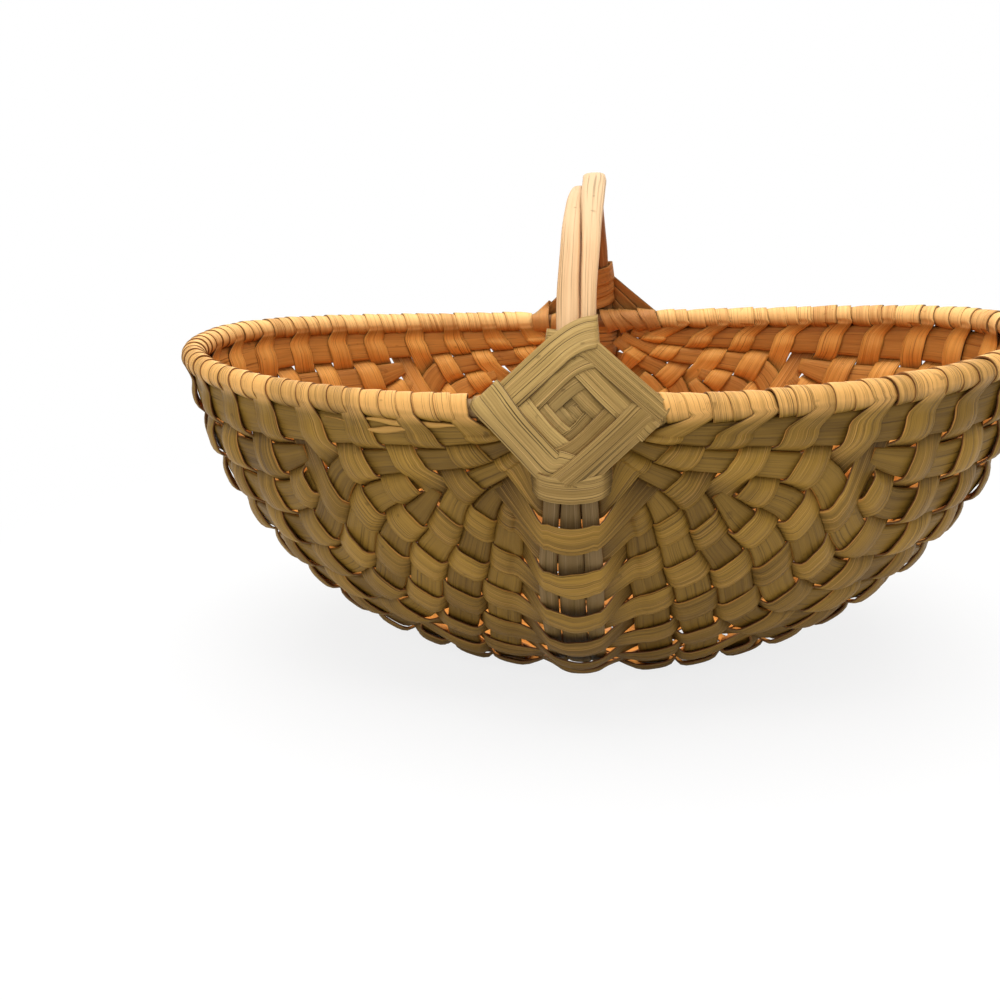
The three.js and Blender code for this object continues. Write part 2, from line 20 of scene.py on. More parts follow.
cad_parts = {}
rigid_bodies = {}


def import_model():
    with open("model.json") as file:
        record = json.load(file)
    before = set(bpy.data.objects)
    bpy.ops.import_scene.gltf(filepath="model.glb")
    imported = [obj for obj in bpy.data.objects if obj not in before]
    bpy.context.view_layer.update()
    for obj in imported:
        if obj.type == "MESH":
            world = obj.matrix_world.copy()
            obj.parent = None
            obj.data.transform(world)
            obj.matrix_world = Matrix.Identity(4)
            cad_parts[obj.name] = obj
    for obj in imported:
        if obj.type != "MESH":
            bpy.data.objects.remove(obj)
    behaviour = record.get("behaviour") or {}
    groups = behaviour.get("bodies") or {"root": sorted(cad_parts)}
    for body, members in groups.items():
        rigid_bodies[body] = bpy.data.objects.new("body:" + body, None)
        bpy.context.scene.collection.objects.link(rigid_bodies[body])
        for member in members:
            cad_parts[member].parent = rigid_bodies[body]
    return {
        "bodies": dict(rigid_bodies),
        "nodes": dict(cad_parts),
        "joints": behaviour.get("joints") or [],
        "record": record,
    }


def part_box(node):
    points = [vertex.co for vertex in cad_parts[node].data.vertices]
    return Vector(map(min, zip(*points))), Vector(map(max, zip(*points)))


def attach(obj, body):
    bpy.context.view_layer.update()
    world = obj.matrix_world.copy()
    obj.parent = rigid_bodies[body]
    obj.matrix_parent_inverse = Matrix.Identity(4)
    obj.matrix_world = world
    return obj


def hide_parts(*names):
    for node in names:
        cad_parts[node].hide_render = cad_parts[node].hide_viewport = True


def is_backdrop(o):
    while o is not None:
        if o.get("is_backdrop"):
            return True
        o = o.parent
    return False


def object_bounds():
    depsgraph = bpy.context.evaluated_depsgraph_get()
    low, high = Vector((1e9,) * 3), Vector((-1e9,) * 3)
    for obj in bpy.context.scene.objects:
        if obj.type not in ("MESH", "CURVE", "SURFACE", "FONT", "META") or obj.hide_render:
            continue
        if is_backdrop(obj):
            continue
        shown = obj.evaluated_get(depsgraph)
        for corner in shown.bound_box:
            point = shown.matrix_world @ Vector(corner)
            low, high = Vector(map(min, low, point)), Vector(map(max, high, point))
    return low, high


log = logging.getLogger("basket")

MM = 0.001
UV_LAYER = "splint"
TONE_LAYER = "tone"
RELIEF_LAYER = "relief"
FULL_TURN = 2 * math.pi
UP = np.array([0.0, 0.0, 1.0])
WELD_DISTANCE = 0.02
WAVE_OCTAVES = ((0.6, 1.0), (0.3, 1.83), (0.1, 3.37))
WAVE_HASH = (12.9898, 78.233, 43758.5453)

Values = np.ndarray | float
Pair = tuple[float, float]
Triple = tuple[float, float, float]
Four = tuple[float, float, float, float]
Sliver = tuple[float, float, float, float, float, float]
Colour = Triple
Line = tuple[np.ndarray, np.ndarray]
Section = tuple[np.ndarray, float]
Socket = bpy.types.NodeSocket
Material = bpy.types.Material
Faces = tuple[Material, Material]


class Side(Enum):
    """The two halves of the basket, by the sign of X."""

    LEFT = -1
    RIGHT = 1


class Slot(Enum):
    """Material slots of the record."""

    RIM = "rim"
    HOOP = "hoop"
    RIB = "rib"
    WEAVER = "weaver"
    LASHING = "lashing"


def smoothstep(x: Values, low: float, high: float) -> Values:
    """A smooth step from 0 at low to 1 at high."""
    t = np.clip((x - low) / (high - low), 0, 1)
    return t * t * (3 - 2 * t)


def unit(v: np.ndarray) -> np.ndarray:
    """Vectors along the last axis, brought to length 1."""
    return v / np.maximum(np.linalg.norm(v, axis=-1, keepdims=True), 1e-9)


def signed_power(v: Values, power: float) -> Values:
    """Powers of the absolute values, with the signs kept."""
    return np.sign(v) * np.abs(v) ** power


def travelled(points: np.ndarray) -> np.ndarray:
    """Distances along a line of points, from 0 at the first one."""
    return np.concatenate([[0], np.cumsum(np.linalg.norm(np.diff(points, axis=0), axis=1))])


def spline(points: np.ndarray, steps: int) -> np.ndarray:
    """A smooth curve through points, with the same number of steps in each span.

    Args:
        points: The control points, along the first axis; each may be any array.
        steps: Steps per span.

    Returns:
        The points of the curve, control points included.
    """
    spans = len(points) - 1
    p = np.concatenate([2 * points[:1] - points[1:2], points, 2 * points[-1:] - points[-2:-1]])
    a, b, c, d = (p[i : i + spans] for i in range(4))
    rounds = []
    for t in (k / steps for k in range(steps)):
        square = (2 * a - 5 * b + 4 * c - d) * (t * t)
        cube = (3 * b - a - 3 * c + d) * (t * t * t)
        rounds.append(0.5 * (2 * b + (c - a) * t + square + cube))
    curve = np.stack(rounds, axis=1).reshape((spans * steps,) + points.shape[1:])
    return np.concatenate([curve, points[-1:]])


def waver(seed: float, x: np.ndarray, period: float) -> np.ndarray:
    """Smooth irregular waves between -1 and 1, the same on each run.

    Args:
        seed: Picks the waves.
        x: Where to read them.
        period: Length of the longest wave.

    Returns:
        The heights at x.
    """
    total = np.zeros_like(x, dtype=float)
    seed_rate, octave_rate, size = WAVE_HASH
    for octave, (weight, rate) in enumerate(WAVE_OCTAVES):
        phase = math.sin(seed * seed_rate + octave * octave_rate) * size
        total += weight * np.sin(FULL_TURN / period * rate * x + (phase - math.floor(phase)) * FULL_TURN)
    return total


def ripple(seed: float, x: float, period: float) -> float:
    """One height of the waves that waver gives."""
    return float(waver(seed, np.array(x), period))


@dataclass
class Patch:
    """One sheet of a piece: a grid of points, along the piece first and across it second.

    Across holds distances in millimetres. Tone picks the wood's shade from 0 to 1. Relief says
    how far the sheet stands out of the weave: -1 is inside, 1 outside, and more is on the rim. The
    materials paint shade where it is low and light on upward faces where it is high.
    Start is where the grain's pattern begins, so that no two pieces have the same grain.
    """

    points: np.ndarray
    across: np.ndarray
    tone: Values = 0.5
    relief: Values = 0.0
    closed_across: bool = False
    start: float = 0.0

    def lay(self, bm: bmesh.types.BMesh) -> None:
        """Adds the sheet to a mesh, with its UV map and its attributes.

        Args:
            bm: The mesh, which has the layers that the materials read.
        """
        uv = bm.loops.layers.uv[UV_LAYER]
        tone, relief = (bm.verts.layers.float[name] for name in (TONE_LAYER, RELIEF_LAYER))
        rows, columns = self.points.shape[:2]
        made = bmesh.ops.create_grid(bm, x_segments=columns - 1, y_segments=rows - 1, size=0.5)["verts"]
        along = self.start + travelled(self.points[:, columns // 2])
        tones, reliefs = (np.broadcast_to(values, rows) for values in (self.tone, self.relief))
        for vert in made:
            column = round((vert.co.x + 0.5) * (columns - 1))
            row = round((vert.co.y + 0.5) * (rows - 1))
            vert.co = Vector(self.points[row, column] * MM)
            vert[tone], vert[relief] = float(tones[row]), float(reliefs[row])
            for loop in vert.link_loops:
                loop[uv].uv = (self.across[column], along[row])
        if self.closed_across:
            bmesh.ops.remove_doubles(bm, verts=made, dist=WELD_DISTANCE * MM)


@dataclass
class Piece:
    """A named mesh of sheets that are alike, all open or all closed across.

    An open sheet gets its thickness in millimetres, half to each side, and the second material on
    its edges, a dark one that paints the shade between overlapping splints. The piece stands for the nodes.
    """

    name: str
    slot: Slot
    patches: list[Patch]
    materials: tuple[Material, ...]
    nodes: tuple[str, ...] = ()
    thickness: float = 0.0

    def build(self) -> None:
        """Makes the object, lets it ride on the basket and hides its nodes."""
        mesh = bpy.data.meshes.new(self.name)
        bm = bmesh.new()
        bm.loops.layers.uv.new(UV_LAYER)
        for layer in (TONE_LAYER, RELIEF_LAYER):
            bm.verts.layers.float.new(layer)
        for patch in self.patches:
            patch.lay(bm)
        if self.patches[0].closed_across:
            bmesh.ops.holes_fill(bm, edges=[e for e in bm.edges if e.is_boundary], sides=0)
            bmesh.ops.recalc_face_normals(bm, faces=bm.faces)
        for face in bm.faces:
            face.smooth = True
        bm.to_mesh(mesh)
        bm.free()
        piece = bpy.data.objects.new(self.name, mesh)
        bpy.context.scene.collection.objects.link(piece)
        for material in self.materials:
            mesh.materials.append(material)
        if self.thickness:
            wall = piece.modifiers.new("thickness", "SOLIDIFY")
            wall.thickness = self.thickness * MM
            wall.offset = 0
            wall.use_even_offset = False
            wall.material_offset_rim = 1
        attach(piece, "root")
        if self.nodes:
            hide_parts(*self.nodes)
        log.info("%s: %d faces", piece.name, len(mesh.polygons))


def rod(
    middles: np.ndarray,
    outs: np.ndarray,
    widths: np.ndarray,
    thicknesses: np.ndarray,
    tone: Values,
    relief: Values,
    closed: bool = False,
    sides: int = 12,
    flatness: float = 2.6,
    start: float = 0.0,
) -> Patch:
    """A long closed sheet with an oval section.

    Args:
        middles: Points of its middle line, in millimetres.
        outs: Directions out of its flat face, at each point.
        widths: Its width at each point.
        thicknesses: Its thickness at each point.
        tone: Where in the range of wood tones it lies.
        relief: How far it stands out of the weave.
        closed: Whether it is a hoop.
        sides: Points round its section.
        flatness: Exponent of its section, 2 for an ellipse.
        start: Where the grain's pattern begins.

    Returns:
        The sheet.
    """
    if closed:
        way = unit(np.roll(middles, -1, axis=0) - np.roll(middles, 1, axis=0))
    else:
        way = unit(np.gradient(middles, axis=0))
    across = unit(np.cross(outs, way))
    angles = np.linspace(0, FULL_TURN, sides + 1)
    x, y = (signed_power(values, 2 / flatness) for values in (np.cos(angles), np.sin(angles)))
    points = (
        middles[:, None]
        + across[:, None] * (x[None, :, None] * widths[:, None, None] / 2)
        + unit(outs)[:, None] * (y[None, :, None] * thicknesses[:, None, None] / 2)
    )
    if closed:
        points = np.concatenate([points, points[:1]])
        tone, relief = (np.resize(values, len(points)) for values in (tone, relief))
    around = angles * float(widths.mean()) / 2
    return Patch(points, around, tone, relief, closed_across=True, start=start)


@dataclass
class BasketForm:
    """The basket's surface: ovals that run from ear to ear, each turned about the ears' line.

    Turn 0 is the rim and a quarter turn the keel. A station counts rows of weaving from the
    front lashing's edge. A column is the rim, a rib or the keel, and its shares say how much of
    the room between rim and keel it takes.
    """

    rim_half_length: float = 164.0
    rim_half_width: float = 88.0
    rim_height: float = 132.0
    rim_end_rise: float = 8.0
    rim_end_curve: float = 2.5
    rim_squareness: float = 2.25
    rod_radius: float = 3.6
    hoop_rise: float = 69.0
    hoop_squareness: float = 2.1
    strand_width: float = 5.3
    strand_thickness: float = 3.0
    strand_gap: float = 0.5
    cleft_depth: float = 5.5
    cleft_half_width: float = 22.0
    clearance: float = 0.3
    lashing_half_width: float = 31.0
    lashing_rise: float = 28.0
    lashing_drop: float = 22.0
    lashing_margin: float = 3.0
    weaver_thickness: float = 0.8
    keel_rib_margin: float = 4.5
    rim_rib_share: float = -0.1
    keel_rib_share: float = 0.5
    rim_column_share: float = 0.8
    keel_column_share: float = 1.1
    rows: int = 36
    rib_starts: tuple[int, ...] = (0, 8, 8, 0, 4, 4, 0, 12, 12, 2, 2)
    rib_opening: Pair = (-2.5, 1.5)
    least_radius: float = 24.0
    least_room: float = 8.0
    oval_points: int = 241
    turn_nudge: float = 0.02
    station_step: float = 0.125
    spare_stations: float = 2.5
    lift: float = field(init=False)
    stations: np.ndarray = field(init=False)
    places: np.ndarray = field(init=False)
    outs: np.ndarray = field(init=False)
    rooms: np.ndarray = field(init=False)
    ovals: dict[float, Line] = field(init=False, default_factory=dict)

    def __post_init__(self) -> None:
        """Works out the place and the outward direction of each column at each station."""
        low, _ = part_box("rim_hoop")
        self.lift = low[2] / MM + self.rod_radius - self.rim_height
        spare = self.spare_stations
        self.stations = np.arange(-spare, self.rows + spare + self.station_step / 2, self.station_step)
        places, outs = [], []
        for column, turns in enumerate(self.column_turns()):
            here, before, after = (
                np.array([self.surface_point(t, s) for t, s in zip(turns + nudge, self.stations)])
                for nudge in (0.0, -self.turn_nudge, self.turn_nudge)
            )
            if column == self.keel:
                before = after * np.array([-1.0, 1.0, 1.0])
            outs.append(unit(np.cross(after - before, np.gradient(here, axis=0))))
            places.append(here)
        self.places, self.outs = np.array(places), np.array(outs)

    @property
    def keel(self) -> int:
        """The keel's column."""
        return len(self.rib_starts) + 1

    @property
    def rod_height(self) -> float:
        """Height of the middle of the rim's rod at the ears."""
        return self.rim_height + self.lift

    @property
    def keel_half_width(self) -> float:
        """Half the width of the hoop's three strands."""
        return 1.5 * self.strand_width + self.strand_gap

    @property
    def hoop_half_height(self) -> float:
        """Half the height of the hoop, to the strands' middle."""
        return (self.rim_height - self.cleft_depth + self.hoop_rise) / 2

    @property
    def hoop_drop(self) -> float:
        """How far the hoop's centre lies under the rim."""
        return self.rim_height - self.cleft_depth - self.hoop_half_height

    @property
    def hoop_at_rim(self) -> float:
        """Half the hoop's width at the rim, to the strands' middle."""
        return self.rim_half_width + self.rod_radius + self.clearance + self.strand_thickness / 2

    @property
    def hoop_half_width(self) -> float:
        """Half the hoop's greatest width, to the strands' middle."""
        share = (self.hoop_drop / self.hoop_half_height) ** self.hoop_squareness
        return self.hoop_at_rim / (1 - share) ** (1 / self.hoop_squareness)

    def hoop_reach(self, height: Values) -> Values:
        """How far the strands' middle lies from the hoop's upright axis, by height above the rim."""
        share = np.abs(height + self.hoop_drop) / self.hoop_half_height
        return self.hoop_half_width * (1 - share**self.hoop_squareness) ** (1 / self.hoop_squareness)

    def rim_reach(self, x: Values) -> Values:
        """How far the rod's middle lies from the rim's long axis."""
        share = (np.abs(x) / self.rim_half_length) ** self.rim_squareness
        return self.rim_half_width * (1 - share) ** (1 / self.rim_squareness)

    def bowed(self, points: np.ndarray) -> np.ndarray:
        """Points moved up with the bow of the rim's ends, the less the lower they lie."""
        share = (np.abs(points[..., 0]) / self.rim_half_length) ** self.rim_end_curve
        high = np.clip((points[..., 2] - self.lift) / self.rim_height, 0, 1)
        raised = points.copy()
        raised[..., 2] += self.rim_end_rise * share * high
        return raised

    def oval(self, turn: float) -> Line:
        """One oval with its distances from the front ear.

        Args:
            turn: The oval's turn about the ears' line, in radians.

        Returns:
            The points in millimetres, and the distance of each.
        """
        key = round(min(turn, math.pi - turn), 5)
        if key in self.ovals:
            return self.ovals[key]
        c, s = math.cos(key), math.sin(key)
        reach = 1 / math.hypot(c / self.rim_half_length, s / self.rim_height)
        near = math.exp(-((reach * c / self.cleft_half_width) ** 2))
        drop = self.hoop_drop * near
        radius = reach - self.cleft_depth * near - drop
        power = 2 / (self.rim_squareness + (self.hoop_squareness - self.rim_squareness) * near)
        start = -math.asin((drop / radius) ** (1 / power))
        half = self.rim_half_width + (self.hoop_at_rim - self.rim_half_width) * near
        half /= math.cos(start) ** power
        angle = np.linspace(start, math.pi - start, self.oval_points)
        depth = drop + radius * signed_power(np.sin(angle), power)
        y = -half * signed_power(np.cos(angle), power)
        points = self.bowed(np.stack([depth * c, y, self.rod_height - depth * s], axis=1))
        self.ovals[key] = points, travelled(points)
        return self.ovals[key]

    def first_row(self, turn: float) -> float:
        """Distance from the ear to the first row along the oval with this turn."""
        across = abs(math.cos(turn)) / self.lashing_half_width
        down = math.sin(turn) / self.lashing_drop
        return 1 / (across + down) + self.lashing_margin

    def surface_point(self, turn: float, station: float) -> np.ndarray:
        """A point of the surface at x >= 0, or just past the keel or the rim."""
        points, lengths = self.oval(abs(turn))
        first = self.first_row(turn)
        distance = first + station / self.rows * (lengths[-1] - 2 * first)
        point = np.array([np.interp(distance, lengths, points[:, i]) for i in range(3)])
        if turn > math.pi / 2:
            point[0] *= -1
        if turn < 0:
            rim = self.surface_point(0.0, station)
            point[2] = 2 * rim[2] - point[2]
        return point

    def column_turns(self) -> np.ndarray:
        """The turn of each column, rim and keel included, at each station."""
        quarter = math.pi / 2
        from_end = np.minimum(self.stations, self.rows - self.stations)
        early, late = self.rib_opening
        shares = np.array(
            [
                smoothstep(from_end, start + early, start + late) if start else np.ones_like(from_end)
                for start in self.rib_starts
            ]
        )
        shares *= np.linspace(self.rim_column_share, self.keel_column_share, len(shares))[:, None]
        total = shares.sum(axis=0) + self.rim_rib_share + self.keel_rib_share
        middle = np.array([self.surface_point(quarter / 2, s) for s in self.stations])
        radius = np.maximum(np.hypot(middle[:, 0], self.rod_height - middle[:, 2]), self.least_radius)
        wrapped = self.rod_radius + 2 * (self.clearance + self.weaver_thickness)
        room = quarter * radius - wrapped - self.keel_half_width - self.keel_rib_margin
        cell = np.maximum(room, self.least_room) / total
        self.rooms = shares * cell
        edges = wrapped + self.rim_rib_share * cell + np.cumsum(self.rooms, axis=0)
        ends = np.zeros_like(from_end)
        return np.vstack([ends, (edges - self.rooms / 2) / radius, ends + quarter])

    def at(self, column: int, station: np.ndarray, side: int) -> Line:
        """Where a column meets stations.

        Args:
            column: 0 for the rim, then the ribs, then the keel.
            station: The stations, in any shape.
            side: The sign of X.

        Returns:
            The places and the directions out of the basket.
        """
        mirror = np.array([side, 1.0, 1.0])
        place, out = (
            np.stack([np.interp(station, self.stations, table[column][:, i]) for i in range(3)], axis=-1)
            for table in (self.places, self.outs)
        )
        return place * mirror, unit(out) * mirror

    def room(self, rib: int, station: Values) -> Values:
        """How wide a place a rib has at stations, in millimetres."""
        return np.interp(station, self.stations, self.rooms[rib - 1])

    def ribs_at(self, station: float) -> list[int]:
        """Columns whose rib is there at a station, without rim and keel."""
        from_end = min(station, self.rows - station)
        return [i + 1 for i, start in enumerate(self.rib_starts) if not start or from_end >= start]

    def hoop_place(self, angle: np.ndarray) -> Line:
        """The hoop's middle and its outward direction.

        Args:
            angle: 0 points to the rear at the hoop's centre, a quarter turn straight up.

        Returns:
            The places and the directions out of the hoop.
        """
        power = 2 / self.hoop_squareness
        s, c = np.sin(angle), np.cos(angle)
        none = np.zeros_like(angle)
        y = self.hoop_half_width * signed_power(c, power)
        z = self.rod_height - self.hoop_drop + self.hoop_half_height * signed_power(s, power)
        away_y = signed_power(c, 2 - power) / self.hoop_half_width
        away_z = signed_power(s, 2 - power) / self.hoop_half_height
        return np.stack([none, y, z], axis=-1), unit(np.stack([none, away_y, away_z], axis=-1))


class Nodes:
    """An empty node tree and short ways to fill it."""

    def __init__(self, owner: Material | bpy.types.World) -> None:
        """Clears the tree of a material or a world."""
        owner.use_nodes = True
        self.tree = owner.node_tree
        self.tree.nodes.clear()

    def add(self, kind: str, inputs: dict | None = None, **settings) -> bpy.types.Node:
        """Adds a node.

        Args:
            kind: Its type, without the first word.
            inputs: Constants or sockets for its inputs, by name or number.
            settings: Its properties, which are set first.

        Returns:
            The new node.
        """
        node = self.tree.nodes.new(f"ShaderNode{kind}")
        for name, setting in settings.items():
            setattr(node, name, setting)
        for name, given in (inputs or {}).items():
            if isinstance(given, Socket):
                self.tree.links.new(given, node.inputs[name])
            else:
                node.inputs[name].default_value = given
        return node

    def math(self, operation: str, *values: float | Socket) -> Socket:
        """The result of an operation on sockets and numbers."""
        return self.add("Math", dict(enumerate(values)), operation=operation).outputs[0]

    def total(self, *terms: tuple[Socket, float]) -> Socket:
        """The sum of sockets, each with its weight."""
        result = 0.0
        for source, weight in terms:
            result = self.math("MULTIPLY_ADD", source, weight, result)
        return result

    def parts(self, vector: Socket) -> bpy.types.NodeOutputs:
        """The parts X, Y and Z of a vector."""
        return self.add("SeparateXYZ", {0: vector}).outputs

    def noise(self, vector: Socket, scale: float, detail: float) -> Socket:
        """Noise between 0 and 1."""
        return self.add("TexNoise", {"Vector": vector, "Scale": scale, "Detail": detail}).outputs["Fac"]

    def ramp(self, source: Socket, low: float, high: float, top: float = 1.0) -> Socket:
        """A value that goes from 0 to top while its source goes from low to high."""
        given = {"Value": source, "From Min": low, "From Max": high, "To Max": top}
        return self.add("MapRange", given).outputs[0]

    def mix(self, factor: Socket, a: Colour | Socket, b: Colour | Socket) -> Socket:
        """A colour between two colours, each a socket or a constant."""
        a, b = ((*given, 1.0) if isinstance(given, tuple) else given for given in (a, b))
        return self.add("Mix", {"Factor": factor, "A": a, "B": b}, data_type="RGBA").outputs["Result"]


@dataclass(frozen=True)
class Tones:
    """Linear colours of one face of a splint.

    Deep is painted shade, the colour in the hollows of the weave, and also the colour of dark fibre
    lines and flecks. Crest is painted light, the colour of upward faces on the rim wraps, the loose
    slivers and the handle's top, and also of pale threads of the grain.
    """

    light: Colour
    dark: Colour
    deep: Colour
    crest: Colour


class Grain(Enum):
    """Streaks of the grain: rate across the splint per fibre, rate along it, and detail."""

    FINE = (1.0, 0.03, 3.0)
    BROAD = (0.25, 0.012, 2.0)
    HAIRS = (1.15, 0.016, 1.0)
    THREADS = (1.45, 0.011, 1.0)


@dataclass(frozen=True)
class SplintFinish:
    """Split wood: long fibres, tones that drift along the splint, and painted shade in its hollows.

    The outer face looks away from the basket's middle, and the inner one towards it; the inner
    tones are painted light, a brighter and warmer lit copy of the wood. Painted light also falls on
    upward faces of high relief and in a pale line along a splint's edges, and painted shade darkens
    the outer face low down. Ranges are the values between which a share goes from nothing to
    its top.
    """

    name: str
    outer: Tones
    inner: Tones
    fibre: float = 2.6
    line_share: float = 0.5
    thread_share: float = 0.0
    fibre_depth: float = 0.4
    half_width: float = 0.0
    roughness: float = 0.38
    roughness_spread: float = 0.3
    specular: float = 0.2
    bump_distance: float = 0.4
    hair_depth: float = -0.7
    drift_rates: Pair = (0.04, 0.02)
    hair_range: Pair = (0.6, 0.68)
    thread_range: Pair = (0.59, 0.68)
    fleck_scale: float = 260.0
    fleck_range: Triple = (0.73, 0.79, 0.4)
    stain_scale: float = 22.0
    grain_range: Triple = (0.36, 0.62, 0.5)
    drift_weight: float = 0.45
    tone_weight: float = 0.5
    stain_weight: float = 0.7
    outside_range: Pair = (-0.03, 0.03)
    outer_hollows: Triple = (0.45, -0.7, 0.85)
    inner_hollows: Triple = (-0.45, 0.7, 0.6)
    crest_relief: Pair = (1.05, 1.5)
    crest_upright: Pair = (-0.75, 0.0)
    crest_shade: Pair = (-0.2, 0.6)
    ground_range: Triple = (0.07, 0.01, 0.62)
    edge_highlight_share: float = 0.35
    edge_highlight_places: Pair = (0.88, 0.97)

    def make(self, centre_z: float) -> Material:
        """Builds the material.

        Args:
            centre_z: Height of the basket's middle in metres, which parts inner from outer.

        Returns:
            The new material.
        """
        material = bpy.data.materials.new(self.name)
        nodes = Nodes(material)
        ramp, mix, total = nodes.ramp, nodes.mix, nodes.total
        uv = nodes.parts(nodes.add("UVMap", uv_map=UV_LAYER).outputs["UV"])
        place = nodes.add("TexCoord").outputs["Object"]
        normal = nodes.add("NewGeometry").outputs["Normal"]
        layers = (nodes.add("Attribute", attribute_name=name) for name in (TONE_LAYER, RELIEF_LAYER))
        tone, relief = (layer.outputs["Fac"] for layer in layers)

        def streaks(across_rate: float, along_rate: float, detail: float) -> Socket:
            """Noise that is drawn out along the splint."""
            x = nodes.math("MULTIPLY", uv["X"], across_rate)
            y = nodes.math("MULTIPLY", uv["Y"], along_rate)
            return nodes.noise(nodes.add("CombineXYZ", {"X": x, "Y": y}).outputs[0], 1.0, detail)

        fine, broad, hairs, threads = (
            streaks(self.fibre * layer.value[0], *layer.value[1:]) for layer in Grain
        )
        drift = streaks(*self.drift_rates, 2.0)
        hairs = ramp(hairs, *self.hair_range)
        threads = ramp(threads, *self.thread_range, self.thread_share)
        fleck = ramp(nodes.noise(place, self.fleck_scale, 1.0), *self.fleck_range)
        stain = nodes.noise(place, self.stain_scale, 3.0)

        grain = ramp(total((fine, 0.5), (broad, 0.5)), *self.grain_range)
        parts = (drift, self.drift_weight), (tone, self.tone_weight), (stain, self.stain_weight)
        centre = (self.tone_weight + self.stain_weight) / 2
        shade = ramp(total((grain, 1.0), *parts), centre, centre + 1)

        away = nodes.add("VectorMath", {0: place, 1: (0, 0, centre_z)}, operation="SUBTRACT").outputs[0]
        facing = nodes.add("VectorMath", {0: away, 1: normal}, operation="DOT_PRODUCT").outputs["Value"]
        outside = ramp(facing, *self.outside_range)
        # Painted light: upward faces of the rim wraps, loose slivers and handle top take the pale crest
        # colour.
        crest = nodes.math(
            "MULTIPLY", ramp(relief, *self.crest_relief), ramp(nodes.parts(normal)["Z"], *self.crest_upright)
        )
        crest = nodes.math("MULTIPLY", crest, ramp(shade, *self.crest_shade))

        def face(tones: Tones, hollows: Triple) -> Socket:
            """The colour of one face, by its shade, with painted shade in its hollows and painted light on
            its upward crests.
            """
            colour = mix(shade, tones.dark, tones.light)
            colour = mix(ramp(relief, *hollows), colour, tones.deep)
            return mix(crest, colour, tones.crest)

        # Painted shade: the outer face goes towards its deep colour low down, darker towards the bottom.
        low = ramp(nodes.parts(place)["Z"], *self.ground_range)
        outer = mix(low, face(self.outer, self.outer_hollows), self.outer.deep)
        # Painted light: faces towards the basket's middle take the inner tones, a brighter, warmer lit copy
        # of the wood.
        colour = mix(outside, face(self.inner, self.inner_hollows), outer)
        # Painted highlight: a pale line along each edge of a splint, where the edges catch the light.
        if self.half_width:
            from_middle = nodes.math("ABSOLUTE", uv["X"])
            ends = (self.half_width * part for part in self.edge_highlight_places)
            edge = ramp(from_middle, *ends, self.edge_highlight_share)
            colour = mix(edge, colour, mix(outside, self.inner.light, self.outer.light))
        if self.thread_share:
            colour = mix(threads, colour, mix(outside, self.inner.crest, self.outer.crest))
        dark = mix(outside, self.inner.deep, self.outer.deep)
        colour = mix(nodes.math("MULTIPLY", hairs, self.line_share), colour, dark)
        colour = mix(fleck, colour, dark)

        height = total((fine, 1.0), (broad, 1.0), (hairs, self.hair_depth))
        bump = {"Strength": self.fibre_depth, "Distance": self.bump_distance * MM, "Height": height}
        inputs = {
            "Base Color": colour,
            "Roughness": nodes.math("MULTIPLY_ADD", fine, self.roughness_spread, self.roughness),
            "Specular IOR Level": self.specular,
            "Normal": nodes.add("Bump", bump).outputs[0],
        }
        shader = nodes.add("BsdfPrincipled", inputs)
        nodes.add("OutputMaterial", {"Surface": shader.outputs[0]})
        return material


# In each finish the first tones are the outer face's and the second the inner face's, which are painted
# light; deep is painted shade and crest painted light.
WEAVER_FINISH = SplintFinish(
    "oak_weaver",
    Tones((0.345, 0.193, 0.029), (0.125, 0.065, 0.008), (0.055, 0.026, 0.004), (0.76, 0.4, 0.115)),
    Tones((0.93, 0.44, 0.095), (0.55, 0.2, 0.033), (0.25, 0.075, 0.01), (0.98, 0.58, 0.21)),
    half_width=5.0,
    fibre=2.5,
    line_share=0.72,
    thread_share=0.28,
)
RIB_FINISH = SplintFinish(
    "oak_rib",
    Tones((0.35, 0.196, 0.028), (0.135, 0.069, 0.008), (0.062, 0.031, 0.004), (0.26, 0.143, 0.026)),
    Tones((0.84, 0.375, 0.08), (0.44, 0.16, 0.027), (0.22, 0.07, 0.011), (0.6, 0.25, 0.05)),
    fibre=2.1,
    line_share=0.65,
)
RIM_FINISH = SplintFinish(
    "oak_rim_rod",
    Tones((0.40, 0.26, 0.10), (0.18, 0.10, 0.04), (0.07, 0.04, 0.015), (0.5, 0.3, 0.12)),
    Tones((0.72, 0.33, 0.11), (0.34, 0.14, 0.04), (0.16, 0.06, 0.02), (0.6, 0.3, 0.1)),
    fibre=1.4,
)
HOOP_FINISH = SplintFinish(
    "oak_hoop",
    Tones((0.82, 0.53, 0.28), (0.52, 0.29, 0.125), (0.082, 0.05, 0.007), (0.7, 0.48, 0.27)),
    Tones((0.85, 0.44, 0.18), (0.45, 0.18, 0.055), (0.24, 0.085, 0.02), (0.86, 0.5, 0.25)),
    fibre=1.7,
    thread_share=0.15,
)
# Painted shade: dark colours for the side faces of splints, standing for the shadow lines between overlapping
# splints.
SHADED_EDGE_FINISH = SplintFinish(
    "oak_edge_painted_shade",
    Tones((0.22, 0.145, 0.055), (0.11, 0.068, 0.024), (0.055, 0.032, 0.011), (0.24, 0.14, 0.05)),
    Tones((0.34, 0.15, 0.045), (0.16, 0.065, 0.018), (0.10, 0.035, 0.010), (0.26, 0.11, 0.032)),
)
LASHING_FINISH = SplintFinish(
    "oak_lashing",
    Tones((0.5, 0.325, 0.105), (0.215, 0.125, 0.03), (0.07, 0.038, 0.008), (0.72, 0.43, 0.16)),
    Tones((0.86, 0.41, 0.11), (0.46, 0.18, 0.045), (0.42, 0.17, 0.045), (0.7, 0.34, 0.09)),
    half_width=4.5,
    fibre_depth=0.7,
    line_share=0.9,
    thread_share=0.5,
)


